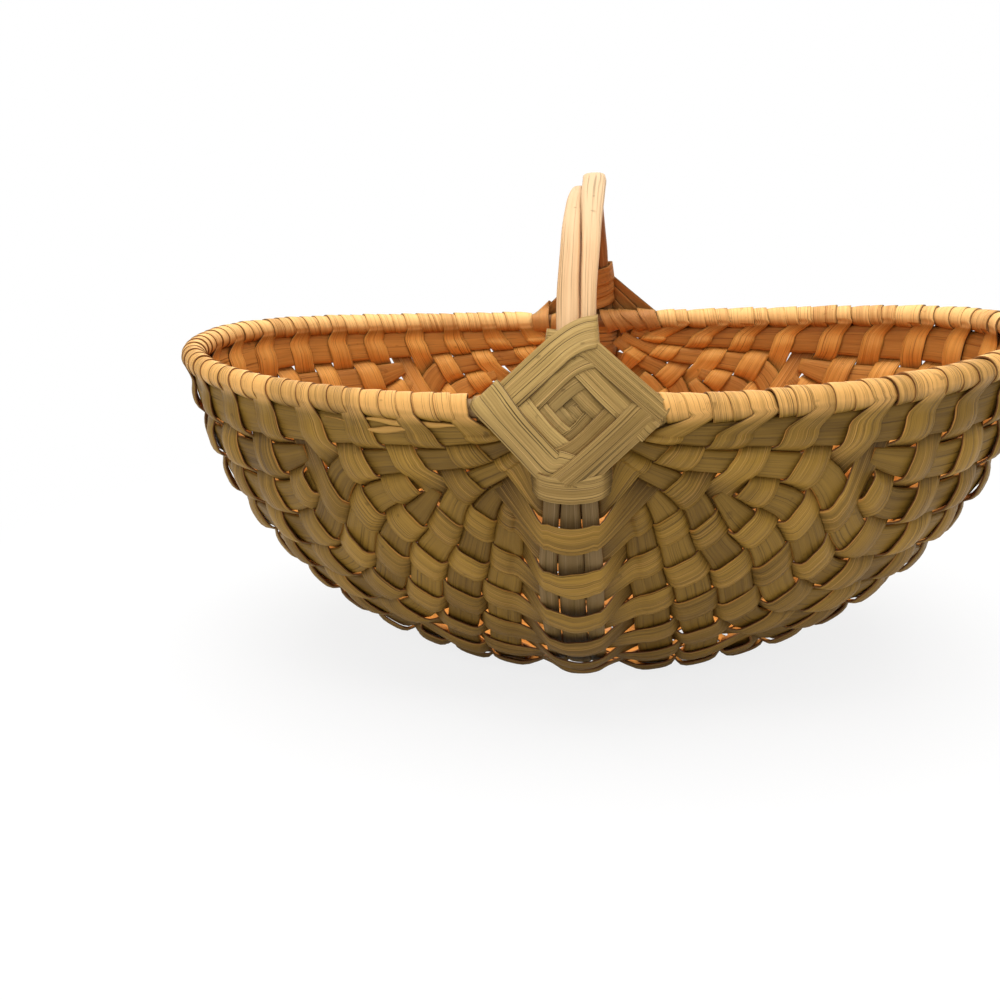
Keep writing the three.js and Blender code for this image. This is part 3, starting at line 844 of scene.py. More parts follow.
@dataclass
class Track:
    """The sections of a splint in order, with the tone and the relief of each."""

    sections: list[np.ndarray] = field(default_factory=list)
    tones: list[float] = field(default_factory=list)
    reliefs: list[float] = field(default_factory=list)

    def add(self, sections: list[Section], tone: float) -> None:
        """Adds sections, each with its relief, in one tone."""
        for points, relief in sections:
            self.sections.append(points)
            self.tones.append(tone)
            self.reliefs.append(relief)

    def patch(self, steps: int, half_width: float, start: float) -> Patch:
        """The smooth sheet through the sections.

        Args:
            steps: Rows of the sheet for each section.
            half_width: Half the splint's width in millimetres.
            start: Where the grain's pattern begins.

        Returns:
            The sheet.
        """
        points = spline(np.array(self.sections), steps)
        places = np.linspace(0, len(self.sections) - 1, len(points))
        tones, reliefs = (
            np.interp(places, np.arange(len(values)), values) for values in (self.tones, self.reliefs)
        )
        across = np.linspace(-half_width, half_width, points.shape[1])
        return Patch(points, across, tones, reliefs, start=start)


@dataclass
class Weave:
    """The long flat weavers: rows over and under the ribs, joined by turns round the rim.

    Stops are places where a row gets a section: the part of the room beside a column, and the
    share of the full height there. A turn starts at the outer angle, out and down of the rod, and
    ends at the inner one, or the other way about.
    """

    form: BasketForm
    materials: Faces
    half_width: float = 5.0
    width_share: float = 0.98
    bulge_width: float = 1.05
    outer_pass: float = 3.4
    inner_pass: float = 2.9
    keel_pass: float = 5.4
    keel_inner_pass: float = 3.5
    keel_sag: float = 0.3
    keel_margin: float = 2.4
    rib_stops: tuple[Pair, ...] = ((0.37, 0.72), (0.0, 1.0), (-0.37, 0.72))
    keel_stops: tuple[Pair, ...] = ((1.0, 0.38), (0.68, 0.75), (0.34, 0.94))
    ground: float = 0.5
    ground_range: Pair = (1.0, 14.0)
    ground_share: float = 0.55
    crown: float = 1.0
    crown_middle: float = 0.35
    tilt: float = 0.6
    thickness: float = 0.75
    columns: int = 7
    steps: int = 3
    wrap_rounds: int = 2
    wrap_step: float = 30.0
    wrap_width: float = 0.88
    wrap_pitch: float = 0.62
    wrap_start: float = 0.25
    wrap_lift: float = 0.72
    wrap_shingle: float = 0.42
    wrap_curl: float = 0.2
    outer_angle: float = -30.0
    inner_angle: float = 210.0
    tail_width: float = 0.92
    tail_turned: Pair = (390.0, 600.0)
    tail_entry: Triple = (0.75, 0.85, 1.2)
    tail_leave: Triple = (0.2, 0.75, 1.0)
    tail_over: float = 0.5
    tail_over_share: float = 0.6
    # Painted light: this relief gives upward faces of the wraps on the rim the pale crest colour.
    rim_relief: float = 1.5
    rows_per_weaver: int = 4
    grain_start: float = 3100.0
    waver_station: float = 0.08
    waver_width: float = 0.09
    waver_height: float = 0.3
    waver_wrap: float = 0.05
    waver_radius: float = 0.22
    lateral: np.ndarray = field(init=False)

    def __post_init__(self) -> None:
        """Sets the places across a weaver, from -1 at its front edge to 1 at its rear one."""
        self.lateral = np.linspace(-1, 1, self.columns)

    def pass_section(
        self, row: int, column: int, side: int, sign: float, share: float, aside: float
    ) -> Section:
        """The weaver where it passes a column.

        Args:
            row: The row.
            column: The rib, or the keel.
            side: The sign of X.
            sign: 1 outside the rib, -1 inside it.
            share: Part of the full height, less beside the rib than over it.
            aside: Distance along the row from the column's middle, in millimetres.

        Returns:
            One point for each lateral place, and the relief.
        """
        q = self.lateral
        seed = row * 3.7 + column * 1.3 * side
        centre = row + 0.5 + self.waver_station * ripple(seed, row * 1.7, 7.0)
        width = self.width_share + (self.bulge_width - self.width_share) * max(0.0, 2 * share - 1)
        width *= 1 + self.waver_width * ripple(seed + 9, row * 2.3, 5.0)
        if column == self.form.keel:
            centre += self.keel_sag * math.cos(math.pi * (row + 0.5) / self.form.rows) * share**2
            place, out = self.form.at(column, centre + q * width / 2, side)
            across = np.array([side, 0.0, 0.0])
            reach = self.keel_pass if sign > 0 else self.keel_inner_pass
        else:
            place, out = self.form.at(column, centre + q * width / 2, side)
            beside, _ = self.form.at(column - 1, centre + q * width / 2, side)
            across = unit(beside - place)
            reach = self.outer_pass if sign > 0 else self.inner_pass
        if sign > 0:
            high = smoothstep(place[self.columns // 2, 2], *self.ground_range)
            reach *= self.ground_share + (1 - self.ground_share) * high
        height = sign * share * reach + self.waver_height * ripple(seed + 4, row * 1.1, 3.0)
        bend = self.crown * sign * share * (self.crown_middle - q**2)
        bend += self.tilt * ripple(seed + 6, row * 1.9, 2.0) * q
        points = place + across * aside + out * (height + bend)[:, None]
        points[:, 2] = np.maximum(points[:, 2], self.ground)
        # Painted shade: this relief darkens passes inside the ribs as hollows from outside, and passes
        # outside them from inside.
        return points, sign * share

    def row_sections(self, row: int) -> list[Section]:
        """Sections of one row, from the rim at x < 0 to the rim at x > 0.

        Args:
            row: The row. Even rows pass outside the first rib.

        Returns:
            The sections in order, each with its relief.
        """
        ribs = self.form.ribs_at(row + 0.5)
        keel = self.form.keel
        stops = []
        for place, column in enumerate(ribs + [keel]):
            sign = -1.0 if (row + place) % 2 else 1.0
            if column == keel:
                room, parts = self.form.keel_half_width + self.keel_margin, self.keel_stops
            else:
                room, parts = self.form.room(column, row + 0.5), self.rib_stops
            stops += [(column, sign, share, part * room) for part, share in parts]
        left, right = (
            [self.pass_section(row, column, side, *stop) for column, *stop in stops] for side in (-1, 1)
        )
        return left + [self.pass_section(row, keel, 1, sign, 1.0, 0.0)] + right[::-1]

    def wrap_section(
        self, station: float, side: int, degrees: float, width: float, over: float = 0.0
    ) -> Section:
        """The weaver where it lies on the rim, each round over the edge of the last.

        Args:
            station: Its middle on the rim.
            side: The sign of X.
            degrees: Angle round the rim: 0 is out of the basket, 90 is up.
            width: Its width in rows.
            over: How far it lies over other rounds, in millimetres.

        Returns:
            One point for each lateral place, and the relief.
        """
        q = self.lateral
        place, out = self.form.at(0, station + q * width / 2, side)
        angle = math.radians(degrees)
        radial = unit(out * (1 - UP)) * math.cos(angle) + UP * math.sin(angle)
        loose = self.waver_radius * ripple(round(station) * 1.7 + side, degrees, 400.0)
        radius = self.form.rod_radius + self.wrap_lift + over + loose
        radius = radius - self.wrap_shingle * q - self.wrap_curl * q**2
        return place + radial * radius[:, None], self.rim_relief

    def turn_sections(self, row: int, side: int) -> list[Section]:
        """The turn round the rim that joins a row to the next one.

        Args:
            row: The row that comes to the rim.
            side: The sign of X.

        Returns:
            The sections, from this row's side of the rim to the next row's.
        """
        total = self.inner_angle - self.outer_angle + 360 * self.wrap_rounds
        turned = np.arange(round(total / self.wrap_step) + 1) * self.wrap_step
        onward = self.wrap_start + self.wrap_pitch * turned / 360
        onward += self.waver_wrap * waver(row * 2.1 + side, turned, 500.0)
        angles = self.outer_angle + turned
        if row % 2:
            onward, angles = 2 - onward[::-1], self.inner_angle - turned
        places = zip(row + onward, angles)
        return [self.wrap_section(station, side, angle, self.wrap_width) for station, angle in places]

    def tail_sections(self, row: int, entering: bool) -> list[Section]:
        """A weaver's loose end: a round and a bit on the rim at x > 0, and more of it at the ears.

        Args:
            row: The row that it belongs to.
            entering: Whether the row starts here, rather than ends.

        Returns:
            The sections, from the loose end to the row, or from the row to the loose end.
        """
        at_ear = row in (0, self.form.rows - 1)
        total = self.tail_turned[entering or at_ear]
        count = round(total / self.wrap_step)
        first, *ways = self.tail_entry if entering else self.tail_leave
        sections = []
        for share in (i / count for i in range(count + 1)):
            left = 1 - share
            if entering:
                station = row + first - ways[at_ear] * left
                degrees = self.outer_angle + total * left
                over = self.tail_over * max(0.0, 1 - share / self.tail_over_share)
            else:
                station = row + first + ways[at_ear] * share
                degrees = self.inner_angle - total * share
                over = 0.0
            sections.append(self.wrap_section(station, 1, degrees, self.tail_width, over))
        return sections

    def build(self) -> None:
        """Makes every weaver, and lets each stand for its node."""
        for number in range(self.form.rows // self.rows_per_weaver):
            first = number * self.rows_per_weaver
            last = first + self.rows_per_weaver - 1
            track = Track()
            track.add(self.tail_sections(first, True), self.tone(first))
            for row in range(first, last + 1):
                leftward = (row - first) % 2 == 0
                across = self.row_sections(row)
                track.add(across[::-1] if leftward else across, self.tone(row))
                if row < last:
                    track.add(self.turn_sections(row, -1 if leftward else 1), self.tone(row + 0.5))
            track.add(self.tail_sections(last, False), self.tone(last))
            Piece(
                f"weaver_splint_{number + 1}",
                Slot.WEAVER,
                [track.patch(self.steps, self.half_width, self.grain_start * number)],
                self.materials,
                (f"weaver_{number + 1}",),
                self.thickness,
            ).build()

    @staticmethod
    def tone(row: float) -> float:
        """The shade of wood of a row, from 0 to 1."""
        return 0.5 + 0.32 * math.sin(row * 2.4 + 0.7) + 0.18 * math.sin(row * 5.3)


@dataclass
class Ribs:
    """The flat ribs that fan out from ear to ear.

    Ranges are in stations from a rib's end: there it gets its thickness, or comes out of the
    weave that its point dives into.
    """

    form: BasketForm
    material: Material
    width: float = 13.0
    share: float = 0.9
    thickness: float = 3.2
    tip_width: float = 3.2
    tuck: float = 0.8
    tip_start: float = 0.4
    dive: float = 1.0
    dive_range: Pair = (0.1, 1.5)
    taper_range: Pair = (-0.6, 1.2)
    toward_rim: float = 1.5
    rim_widening: float = 1.6
    waver_width: float = 0.04
    # Painted shade: a relief near zero gives the ribs part of the hollows' dark colour.
    relief: float = 0.02
    steps: int = 100
    sides: int = 14
    flatness: float = 3.2
    grain_starts: Pair = (977.0, 400.0)

    def build(self) -> None:
        """Makes every rib, and lets each stand for its node."""
        for side in Side:
            for column in range(1, self.form.keel):
                self.make(column, side)

    def make(self, column: int, side: Side) -> None:
        """Makes one rib.

        Args:
            column: Its column.
            side: Its half of the basket.
        """
        start = self.form.rib_starts[column - 1]
        low = start - self.tip_start if start else -self.tuck
        stations = np.linspace(low, self.form.rows - low, self.steps)
        place, out = self.form.at(column, stations, side.value)
        from_end = np.minimum(stations - low, self.form.rows - low - stations)
        if start:
            place = place - out * (self.dive * (1 - smoothstep(from_end, *self.dive_range)))[:, None]
        width = np.minimum(self.width, self.share * self.form.room(column, stations))
        if column == 1:
            rim, _ = self.form.at(0, stations, side.value)
            place = place + unit(rim - place) * self.toward_rim
            width = width + self.rim_widening * self.toward_rim
        width = np.maximum(width, self.tip_width)
        width *= 1 + self.waver_width * waver(column * 1.9 + side.value, stations, 9.0)
        tone = 0.5 + 0.4 * math.sin(column * 3.1 + side.value)
        thick = self.thickness * (0.5 + 0.5 * smoothstep(from_end, *self.taper_range))
        grain = self.grain_starts[0] * column + self.grain_starts[1] * side.value
        sheet = rod(
            place, out, width, thick, tone, self.relief, sides=self.sides, flatness=self.flatness, start=grain
        )
        name = f"{side.name.lower()}_{column}"
        Piece(f"rib_splint_{name}", Slot.RIB, [sheet], (self.material,), (f"rib_{name}",)).build()


@dataclass
class LooseFibres:
    """Slivers that have come off under the near rim, held by the weaving.

    Each has its stations, its shares of the way from the rim to the first rib at both ends, its
    greatest width and its tone.
    """

    form: BasketForm
    material: Material
    slivers: tuple[Sliver, ...] = (
        (0.7, 4.75, 0.6, 0.44, 2.0, 1.5),
        (2.4, 4.9, 0.74, 0.86, 2.6, 0.7),
        (4.6, 5.7, 0.62, 0.5, 0.8, 1.2),
    )
    lift: float = 2.3
    waver_height: float = 0.4
    thickness: float = 0.7
    least_width: float = 0.15
    taper_first: Pair = (-0.2, 1.2)
    taper_last: float = 1.6
    # Painted light: this relief gives the slivers' upward faces part of the pale crest colour.
    relief: float = 1.25
    steps: int = 40
    sides: int = 8
    grain_start: float = 211.0

    def build(self) -> None:
        """Makes the slivers as one piece."""
        sheets = []
        for number, (first, last, near, far, width, tone) in enumerate(self.slivers):
            stations = np.linspace(first, last, self.steps)
            share = np.linspace(near, far, self.steps)[:, None]
            (rim, _), (rib, out) = (self.form.at(column, stations, Side.LEFT.value) for column in (0, 1))
            place = rim + (rib - rim) * share + out * self.lift
            place[:, 2] += self.waver_height * waver(number + 0.3, stations, 2.5)
            widths = width * smoothstep(stations, *(first + range_end for range_end in self.taper_first))
            widths = widths * (1 - smoothstep(stations, last - self.taper_last, last)) + self.least_width
            thick = np.full_like(widths, self.thickness)
            grain = self.grain_start * number
            sheets.append(rod(place, out, widths, thick, tone, self.relief, sides=self.sides, start=grain))
        Piece("loose_fibres", Slot.WEAVER, sheets, (self.material,)).build()


@dataclass(frozen=True)
class Strand:
    """One strand of the hoop.

    Its keys run from the near rim up the front leg, over the top and down the rear leg: the share
    of the way, and there its place across the hoop, its distance out of it, and its width. Under
    the rim it moves to a place across the keel, with a width of its own.
    """

    name: str
    keel_place: float
    keel_width: float
    ways: tuple[float, ...]
    places: tuple[float, ...]
    lifts: tuple[float, ...]
    widths: tuple[float, ...]


STRANDS = (
    Strand(
        "left",
        keel_place=-8.4,
        keel_width=6.3,
        ways=(0.0, 0.11, 0.2, 0.36, 0.46, 0.54, 0.62, 0.76, 0.88, 1.0),
        places=(-5.8, -5.0, -1.8, -0.4, 2.2, 2.6, 1.2, -2.2, -5.2, -5.8),
        lifts=(0.0, -1.6, -3.9, -5.2, -3.6, -2.8, -2.6, -2.8, -1.2, 0.0),
        widths=(5.3, 5.4, 5.6, 5.4, 4.6, 4.7, 4.8, 5.0, 5.3, 5.3),
    ),
    Strand(
        "middle",
        keel_place=-0.3,
        keel_width=9.2,
        ways=(0.0, 0.13, 0.22, 0.32, 0.42, 0.5, 0.6, 0.8, 0.9, 1.0),
        places=(0.0, -1.2, -2.2, -3.2, -4.1, -4.2, -3.4, -2.2, -0.8, 0.0),
        lifts=(0.0, 0.1, 0.1, -0.7, -3.2, -5.0, -3.0, 0.1, 0.0, 0.0),
        widths=(5.3, 7.0, 7.4, 7.0, 5.8, 4.8, 5.4, 7.0, 6.2, 5.3),
    ),
    Strand(
        "right",
        keel_place=7.5,
        keel_width=6.2,
        ways=(0.0, 0.13, 0.22, 0.32, 0.42, 0.5, 0.58, 0.68, 0.8, 0.9, 1.0),
        places=(5.8, 4.4, 3.9, 4.0, 2.7, 1.6, 0.4, 0.6, 3.2, 5.2, 5.8),
        lifts=(0.0, 0.0, 0.0, 0.1, 0.2, 0.2, 0.2, 0.2, 0.1, 0.0, 0.0),
        widths=(5.3, 4.8, 4.5, 6.0, 8.6, 9.4, 6.6, 5.4, 5.0, 5.2, 5.3),
    ),
)


@dataclass
class Hoops:
    """The rim's rod, and the upright hoop of three strands.

    Ranges are heights above or below the rim, between which the handle or the keel takes shape.
    """

    form: BasketForm
    rim_material: Material
    hoop_material: Material
    rim_steps: int = 120
    rim_size: float = 0.92
    rim_tone: float = 0.4
    hoop_steps: int = 300
    lean: float = 1.6
    handle_thickness: float = 3.6
    handle_range: Pair = (2.0, 14.0)
    handle_waver: float = 0.35
    keel_range: Pair = (16.0, 62.0)
    width_waver: float = 0.04
    tones: Triple = (0.42, 0.14, 0.12)
    handle_relief: float = 0.7
    top_light_relief: float = 0.7
    top_light_range: Pair = (30.0, 66.0)
    keel_relief: float = -0.72
    ease_reach: int = 9
    sides: int = 18
    grain_start: float = 733.0

    def build(self) -> None:
        """Makes the rod and the strands, and lets each stand for its node."""
        self.rim()
        for number, strand in enumerate(STRANDS):
            self.strand(number, strand)

    def rim(self) -> None:
        """Makes the rim's rod."""
        form = self.form
        angle = np.linspace(0, FULL_TURN, self.rim_steps, endpoint=False)
        power = 2 / form.rim_squareness
        x = form.rim_half_length * signed_power(np.cos(angle), power)
        y = form.rim_half_width * signed_power(np.sin(angle), power)
        middles = form.bowed(np.stack([x, y, np.full_like(x, form.rod_height)], axis=1))
        size = np.full_like(x, 2 * form.rod_radius * self.rim_size)
        ups = np.tile(UP, (len(x), 1))
        sheet = rod(middles, ups, size, size, self.rim_tone, 1.0, closed=True, flatness=2.0)
        Piece("rim_rod", Slot.RIM, [sheet], (self.rim_material,), ("rim_hoop",)).build()

    def strand(self, number: int, strand: Strand) -> None:
        """Makes one strand of the hoop.

        Args:
            number: 0 for the left one.
            strand: Its shape.
        """
        form = self.form
        angle = np.linspace(0, FULL_TURN, self.hoop_steps, endpoint=False)
        place, out = form.hoop_place(angle)
        height = place[:, 2] - form.rod_height
        over = height > 0
        front = math.pi + math.asin((form.hoop_drop / form.hoop_half_height) ** (form.hoop_squareness / 2))
        way = np.clip((front - angle) / (2 * front - math.pi), 0, 1)
        above = smoothstep(height, *self.handle_range)
        below = smoothstep(-height, *self.keel_range)
        spacing = (number - 1) * (form.strand_width + form.strand_gap)
        keys = strand.places, strand.lifts, strand.widths
        x, lift, width = (self.eased(np.interp(way, strand.ways, values)) for values in keys)
        under = spacing + (strand.keel_place - spacing) * below
        x = np.where(over, x + self.lean * np.sin(math.pi * way), under)
        under = form.strand_width + (strand.keel_width - form.strand_width) * below
        width = np.where(over, width, under) * (1 + self.width_waver * waver(number + 0.5, angle, 0.7))
        place[:, 0] = x + self.handle_waver * above * waver(number * 5.1, angle, 0.9)
        place += out * np.where(over, lift, 0.0)[:, None]
        thick = form.strand_thickness + (self.handle_thickness - form.strand_thickness) * above
        base, step, change = self.tones
        tone = base + step * number + change * waver(number + 3.3, angle, 1.1)
        # Painted light: the relief rises towards the handle's top, so its upward faces take the pale crest
        # colour.
        lit_relief = self.handle_relief + self.top_light_relief * smoothstep(height, *self.top_light_range)
        # Painted shade: the keel's low relief gives the strands under the rim the hollows' dark colour.
        relief = np.where(over, lit_relief, self.keel_relief)
        grain = self.grain_start * number
        sheet = rod(place, out, width, thick, tone, relief, closed=True, sides=self.sides, start=grain)
        name, node = f"hoop_splint_{strand.name}", f"hoop_strand_{strand.name}"
        Piece(name, Slot.HOOP, [sheet], (self.hoop_material,), (node,)).build()

    def eased(self, values: np.ndarray) -> np.ndarray:
        """Values round a hoop without their sharp bends."""
        steps = range(-self.ease_reach, self.ease_reach + 1)
        return sum(np.roll(values, step) for step in steps) / len(steps)


class Arm(Enum):
    """The four arms at an ear, in the order in which the lashing visits them, by direction."""

    HANDLE = (0.0, 1.0)
    RIM_LEFT = (-1.0, 0.0)
    KEEL = (0.0, -1.0)
    RIM_RIGHT = (1.0, 0.0)

    @staticmethod
    def at(step: int) -> Arm:
        """The arm that a step of the winding leaves."""
        return tuple(Arm)[step % 4]

    @property
    def upright(self) -> bool:
        """Whether the arm belongs to the hoop."""
        return self.value[0] == 0


@dataclass
class Lashing:
    """The diamond lashing at one ear: a flat splint wound round the four arms of rim and hoop.

    A leg crosses the face from one arm to the next and goes on behind that arm. It starts over the
    leg before it, and each round lies over the last one and further out. Legs has, for each of the
    four legs and each round, how far out its line meets the arm that it leaves and the next one.
    """

    form: BasketForm
    materials: Faces
    width: float = 8.6
    last_widths: Four = (9.1, 12.2, 10.8, 6.0)
    hoop_width_cut: float = 0.6
    thickness: float = 0.5
    legs: tuple[tuple[Pair, ...], ...] = (
        ((7.0, 7.0), (12.0, 12.0), (17.5, 18.3), (23.4, 26.3)),
        ((5.0, 5.0), (9.2, 9.2), (13.7, 13.7), (22.4, 22.4)),
        ((5.0, 5.0), (9.2, 9.2), (13.2, 14.2), (20.2, 23.5)),
        ((7.0, 7.0), (12.7, 12.7), (19.7, 19.6), (29.0, 25.0)),
    )
    folds: tuple[tuple[float, ...], tuple[float, ...]] = ((3.0, 3.0, 4.0, 5.8), (3.0, 4.0, 5.7, 0.6))
    drawn_in: Pair = (4.0, 7.5)
    handle_half_width: float = 7.2
    hoop_bend: float = 0.2
    hoop_past: float = 0.3
    hoop_near: Pair = (0.8, 0.48)
    rim_near: Pair = (4.5, 0.4)
    rim_past: float = 0.8
    keel_fold: float = 1.8
    keel_slant: float = 46.0
    layers: tuple[float, ...] = (8.5, 13.5, 18.5, 23.5)
    leg_tones: Four = (0.6, 1.05, -0.05, 0.4)
    tone_change: float = 0.15
    reliefs: Pair = (-0.2, 1.2)
    slope: float = 0.22
    leaving_lift: float = 0.6
    leaving_range: Pair = (0.3, 0.7)
    ground_lift: float = 0.5
    edge_curl: float = 0.12
    flat_share: float = 0.75
    near_lift: float = 3.6
    full_distance: float = 27.0
    handle_proud: float = 0.8
    handle_range: Pair = (2.0, 14.0)
    behind_gap: float = 0.9
    behind_part: float = 0.6
    behind_lift: float = 0.3
    behind_shares: Pair = (0.2, 0.8)
    rim_slant: float = 0.3
    waver_width: float = 0.03
    tail_drop: float = 23.6
    tail_sag: float = 0.012
    tail_sunk: float = 1.2
    tail_width: float = 8.2
    tail_tone: float = 0.35
    tail_places: tuple[Pair, ...] = (
        (13.2, -4.6),
        (12.4, -2.6),
        (11.3, -0.2),
        (9.6, 2.3),
        (6.2, 3.6),
        (0.0, 4.0),
    )
    grain_start: float = 500.0
    columns: int = 9
    steps: int = 4
    lateral: np.ndarray = field(init=False)

    def __post_init__(self) -> None:
        """Sets the places across the splint, from -1 at its edge near the ear to 1 at the other."""
        self.lateral = np.linspace(-1, 1, self.columns)

    def build(self) -> None:
        """Makes both lashings, and lets each stand for its node."""
        self.make(-1, "front")
        self.make(1, "rear")

    @property
    def last_step(self) -> int:
        """The last leg, counted from the start of the winding."""
        return 4 * len(self.layers) - 1

    def in_last_round(self, step: int) -> bool:
        """Whether a leg is one of the four that show whole."""
        return step > self.last_step - 4

    def leg_width(self, step: int) -> float:
        """The splint's width on a leg."""
        return self.last_widths[step % 4] if self.in_last_round(step) else self.width

    def on_hoop(self, height: float, x: float, end: int, lift: float) -> np.ndarray:
        """A point at a height above the rim, x across the hoop, and lifted off the strands' middle."""
        form = self.form
        y = form.hoop_reach(height)
        power = form.hoop_squareness - 1
        away_y = (y / form.hoop_half_width) ** power / form.hoop_half_width
        away_z = signed_power((height + form.hoop_drop) / form.hoop_half_height, power)
        away_z /= form.hoop_half_height
        out = unit(np.array([0.0, end * away_y, away_z]))
        return np.array([x, end * y, form.rod_height + height]) + out * lift

    def on_rim(self, x: float, height: float, end: int, lift: float) -> np.ndarray:
        """A point x along the rim from the ear, raised and lifted outwards off the rod's middle."""
        middle = self.form.bowed(np.array([x, end * self.form.rim_reach(x), self.form.rod_height]))
        return middle + np.array([0.0, end * lift, height])

    def on_face(self, x: np.ndarray, z: np.ndarray, end: int, lift: np.ndarray) -> np.ndarray:
        """Points on the tent that straight legs span between the four arms.

        Args:
            x: Along the rim from the ear.
            z: Above the rim.
            end: The sign of Y.
            lift: Distance out of the tent.

        Returns:
            The points.
        """
        form = self.form
        rise = np.where(z > 0, form.lashing_rise, form.lashing_drop)
        flat = self.flat_share * form.keel_half_width
        level = np.abs(z) / rise + np.maximum(np.abs(x) - flat, 0) / (form.lashing_half_width - flat)
        along = flat + level * (form.lashing_half_width - flat)
        rim = form.rim_reach(along) + form.rod_radius
        rim += self.near_lift * (1 - np.minimum(1, along / self.full_distance))
        beside = np.clip((np.abs(x) - flat) / np.maximum(along - flat, 0.5), 0, 1)
        proud = form.strand_thickness / 2 + self.handle_proud * smoothstep(z, *self.handle_range)
        away = (form.hoop_reach(level * rise * np.sign(z)) + proud) * (1 - beside) + rim * beside
        return np.stack([x, end * (away + lift), form.rod_height + z], axis=-1)

    def half(self, arm: Arm) -> float:
        """Half the width of an arm."""
        if not arm.upright:
            return self.form.rod_radius
        return self.handle_half_width if arm is Arm.HANDLE else self.form.keel_half_width

    def beside_hoop(self, own: float, other: float, half: float, drawn: float = 0.0) -> np.ndarray:
        """The curve of a leg that comes round the side of the hoop.

        Args:
            own: How far along the hoop the leg's line meets its middle.
            other: How far along the other arm it ends.
            half: Half the hoop's width.
            drawn: How far the leg is drawn in at the hoop's side.

        Returns:
            Distances along the hoop and along the other arm, from the hoop's side on.
        """
        bent = own * (1 + self.hoop_bend * half / other) - drawn
        near = min(self.hoop_near[0] * half, self.hoop_near[1] * other)
        end = own * (1 - near / other), near
        corners = (bent, -half - self.hoop_past), (bent, -self.hoop_bend * half), end
        a, b, c = (np.array(corner) for corner in corners)
        t = np.linspace(0, 1, 6)[:, None]
        return a * (1 - t) ** 2 + 2 * b * t * (1 - t) + c * t**2

    @staticmethod
    def straight(own: float, other: float, *beyond: float) -> np.ndarray:
        """Places on a leg's line: distances along one arm and, as given, along the other."""
        along = np.array(beyond)
        return np.stack([own * (1 - along / other), along], axis=1)

    def way(self, step: int) -> np.ndarray:
        """The middle line of a leg: distances along the arm that it leaves and the one it comes to."""
        here, after = self.legs[step % 4][step // 4]
        last = self.in_last_round(step)
        left, next_arm = Arm.at(step), Arm.at(step + 1)
        near, near_share = self.rim_near
        if left.upright and not (last and left is Arm.KEEL):
            leaving = self.beside_hoop(here, after, self.half(left))
        else:
            fold = self.keel_fold if left.upright else self.folds[step % 4 // 2][step // 4]
            leaving = self.straight(here, after, -fold, -fold / 2, 0.0, min(near, near_share * after))
        if next_arm.upright:
            drawn = self.drawn_in[step % 4 == 1] if last else 0.0
            coming = self.beside_hoop(after, here, self.half(next_arm), drawn)
            coming = coming[::-1, ::-1]
        else:
            ends = min(near, near_share * here), self.rim_past, -self.rim_past
            coming = self.straight(after, here, *ends)[:, ::-1]
        return np.concatenate([leaving, (leaving[-1:] + coming[:1]) / 2, coming])

    def leg_sections(self, step: int, end: int) -> list[np.ndarray]:
        """The splint's points on its way across the face.

        Args:
            step: The leg.
            end: The sign of Y.

        Returns:
            For each section a point for each lateral place.
        """
        way = self.way(step)
        q = self.lateral
        first, second = (np.array(Arm.at(s).value) for s in (step, step + 1))
        last = self.in_last_round(step)
        ahead = unit(np.gradient(way, axis=0))
        places = np.arange(len(way))
        wide = self.leg_width(step) * (1 + self.waver_width * waver(step * 1.3, places, 6.0))
        slant = np.zeros(len(way))
        if last and Arm.at(step + 1).upright:
            narrow = smoothstep(places, len(way) - 5, len(way) - 2)
            wide = wide * (1 - narrow) + np.minimum(wide, self.width - self.hoop_width_cut) * narrow
        if last and Arm.at(step) is Arm.KEEL:
            slant = math.radians(self.keel_slant) * (1 - smoothstep(places, -0.5, 4.5))
        c, s = np.cos(slant), np.sin(slant)
        wide = wide / c
        across = np.stack([ahead[:, 1] * c + ahead[:, 0] * s, -ahead[:, 0] * c + ahead[:, 1] * s], axis=1)
        spots = way[:, None] + across[:, None] * (q[:, None] * wide[:, None, None] / 2)
        flat = spots[..., :1] * first + spots[..., 1:] * second
        gone = travelled(way)
        over = self.leaving_lift * (1 - smoothstep(gone / gone[-1], *self.leaving_range))
        out = np.abs(flat).sum(axis=-1) / math.sqrt(2)
        lift = self.ground_lift + np.maximum(self.slope * (self.layers[step // 4] - out), 0.0)
        lift = lift + over[:, None] - self.edge_curl * q**2
        return list(self.on_face(flat[..., 0], flat[..., 1], end, lift))

    def behind_sections(self, step: int, end: int) -> list[np.ndarray]:
        """The splint's points on its way behind the arm that a leg comes to.

        Args:
            step: The leg.
            end: The sign of Y.

        Returns:
            For each section a point for each lateral place.
        """
        arm = Arm.at(step + 1)
        come, go = self.way(step)[-1][1], self.way(step + 1)[0][0]
        come_width, go_width = (min(self.width, self.leg_width(s)) for s in (step, step + 1))
        q = self.lateral
        over = 0.5 * self.slope * self.width * (1 - q) / 2
        half = self.half(arm) + self.behind_gap / (2 if arm.upright else 1)
        back = (self.form.strand_thickness / 2 if arm.upright else self.form.rod_radius) + self.behind_gap
        part, (early, late) = self.behind_part * half, self.behind_shares
        stages = (
            (half, 0.0, 0.0, 0.0),
            (part, -back, early, 0.0),
            (-part, -back, late, 0.0),
            (-half, self.behind_lift, 1.0, 0.0 if arm.upright else self.rim_slant),
        )
        sections = []
        for aside, lift, share, slant in stages:
            width = come_width + (go_width - come_width) * share
            along = come + (go - come) * share + q * width / 2
            sides = aside + np.sign(aside) * over * (abs(aside) == half) + q * width / 2 * slant
            lifts = np.where(lift < 0, lift - over, lift)
            sections.append(np.array([self.on_arm(arm, *place, end) for place in zip(along, sides, lifts)]))
        return sections

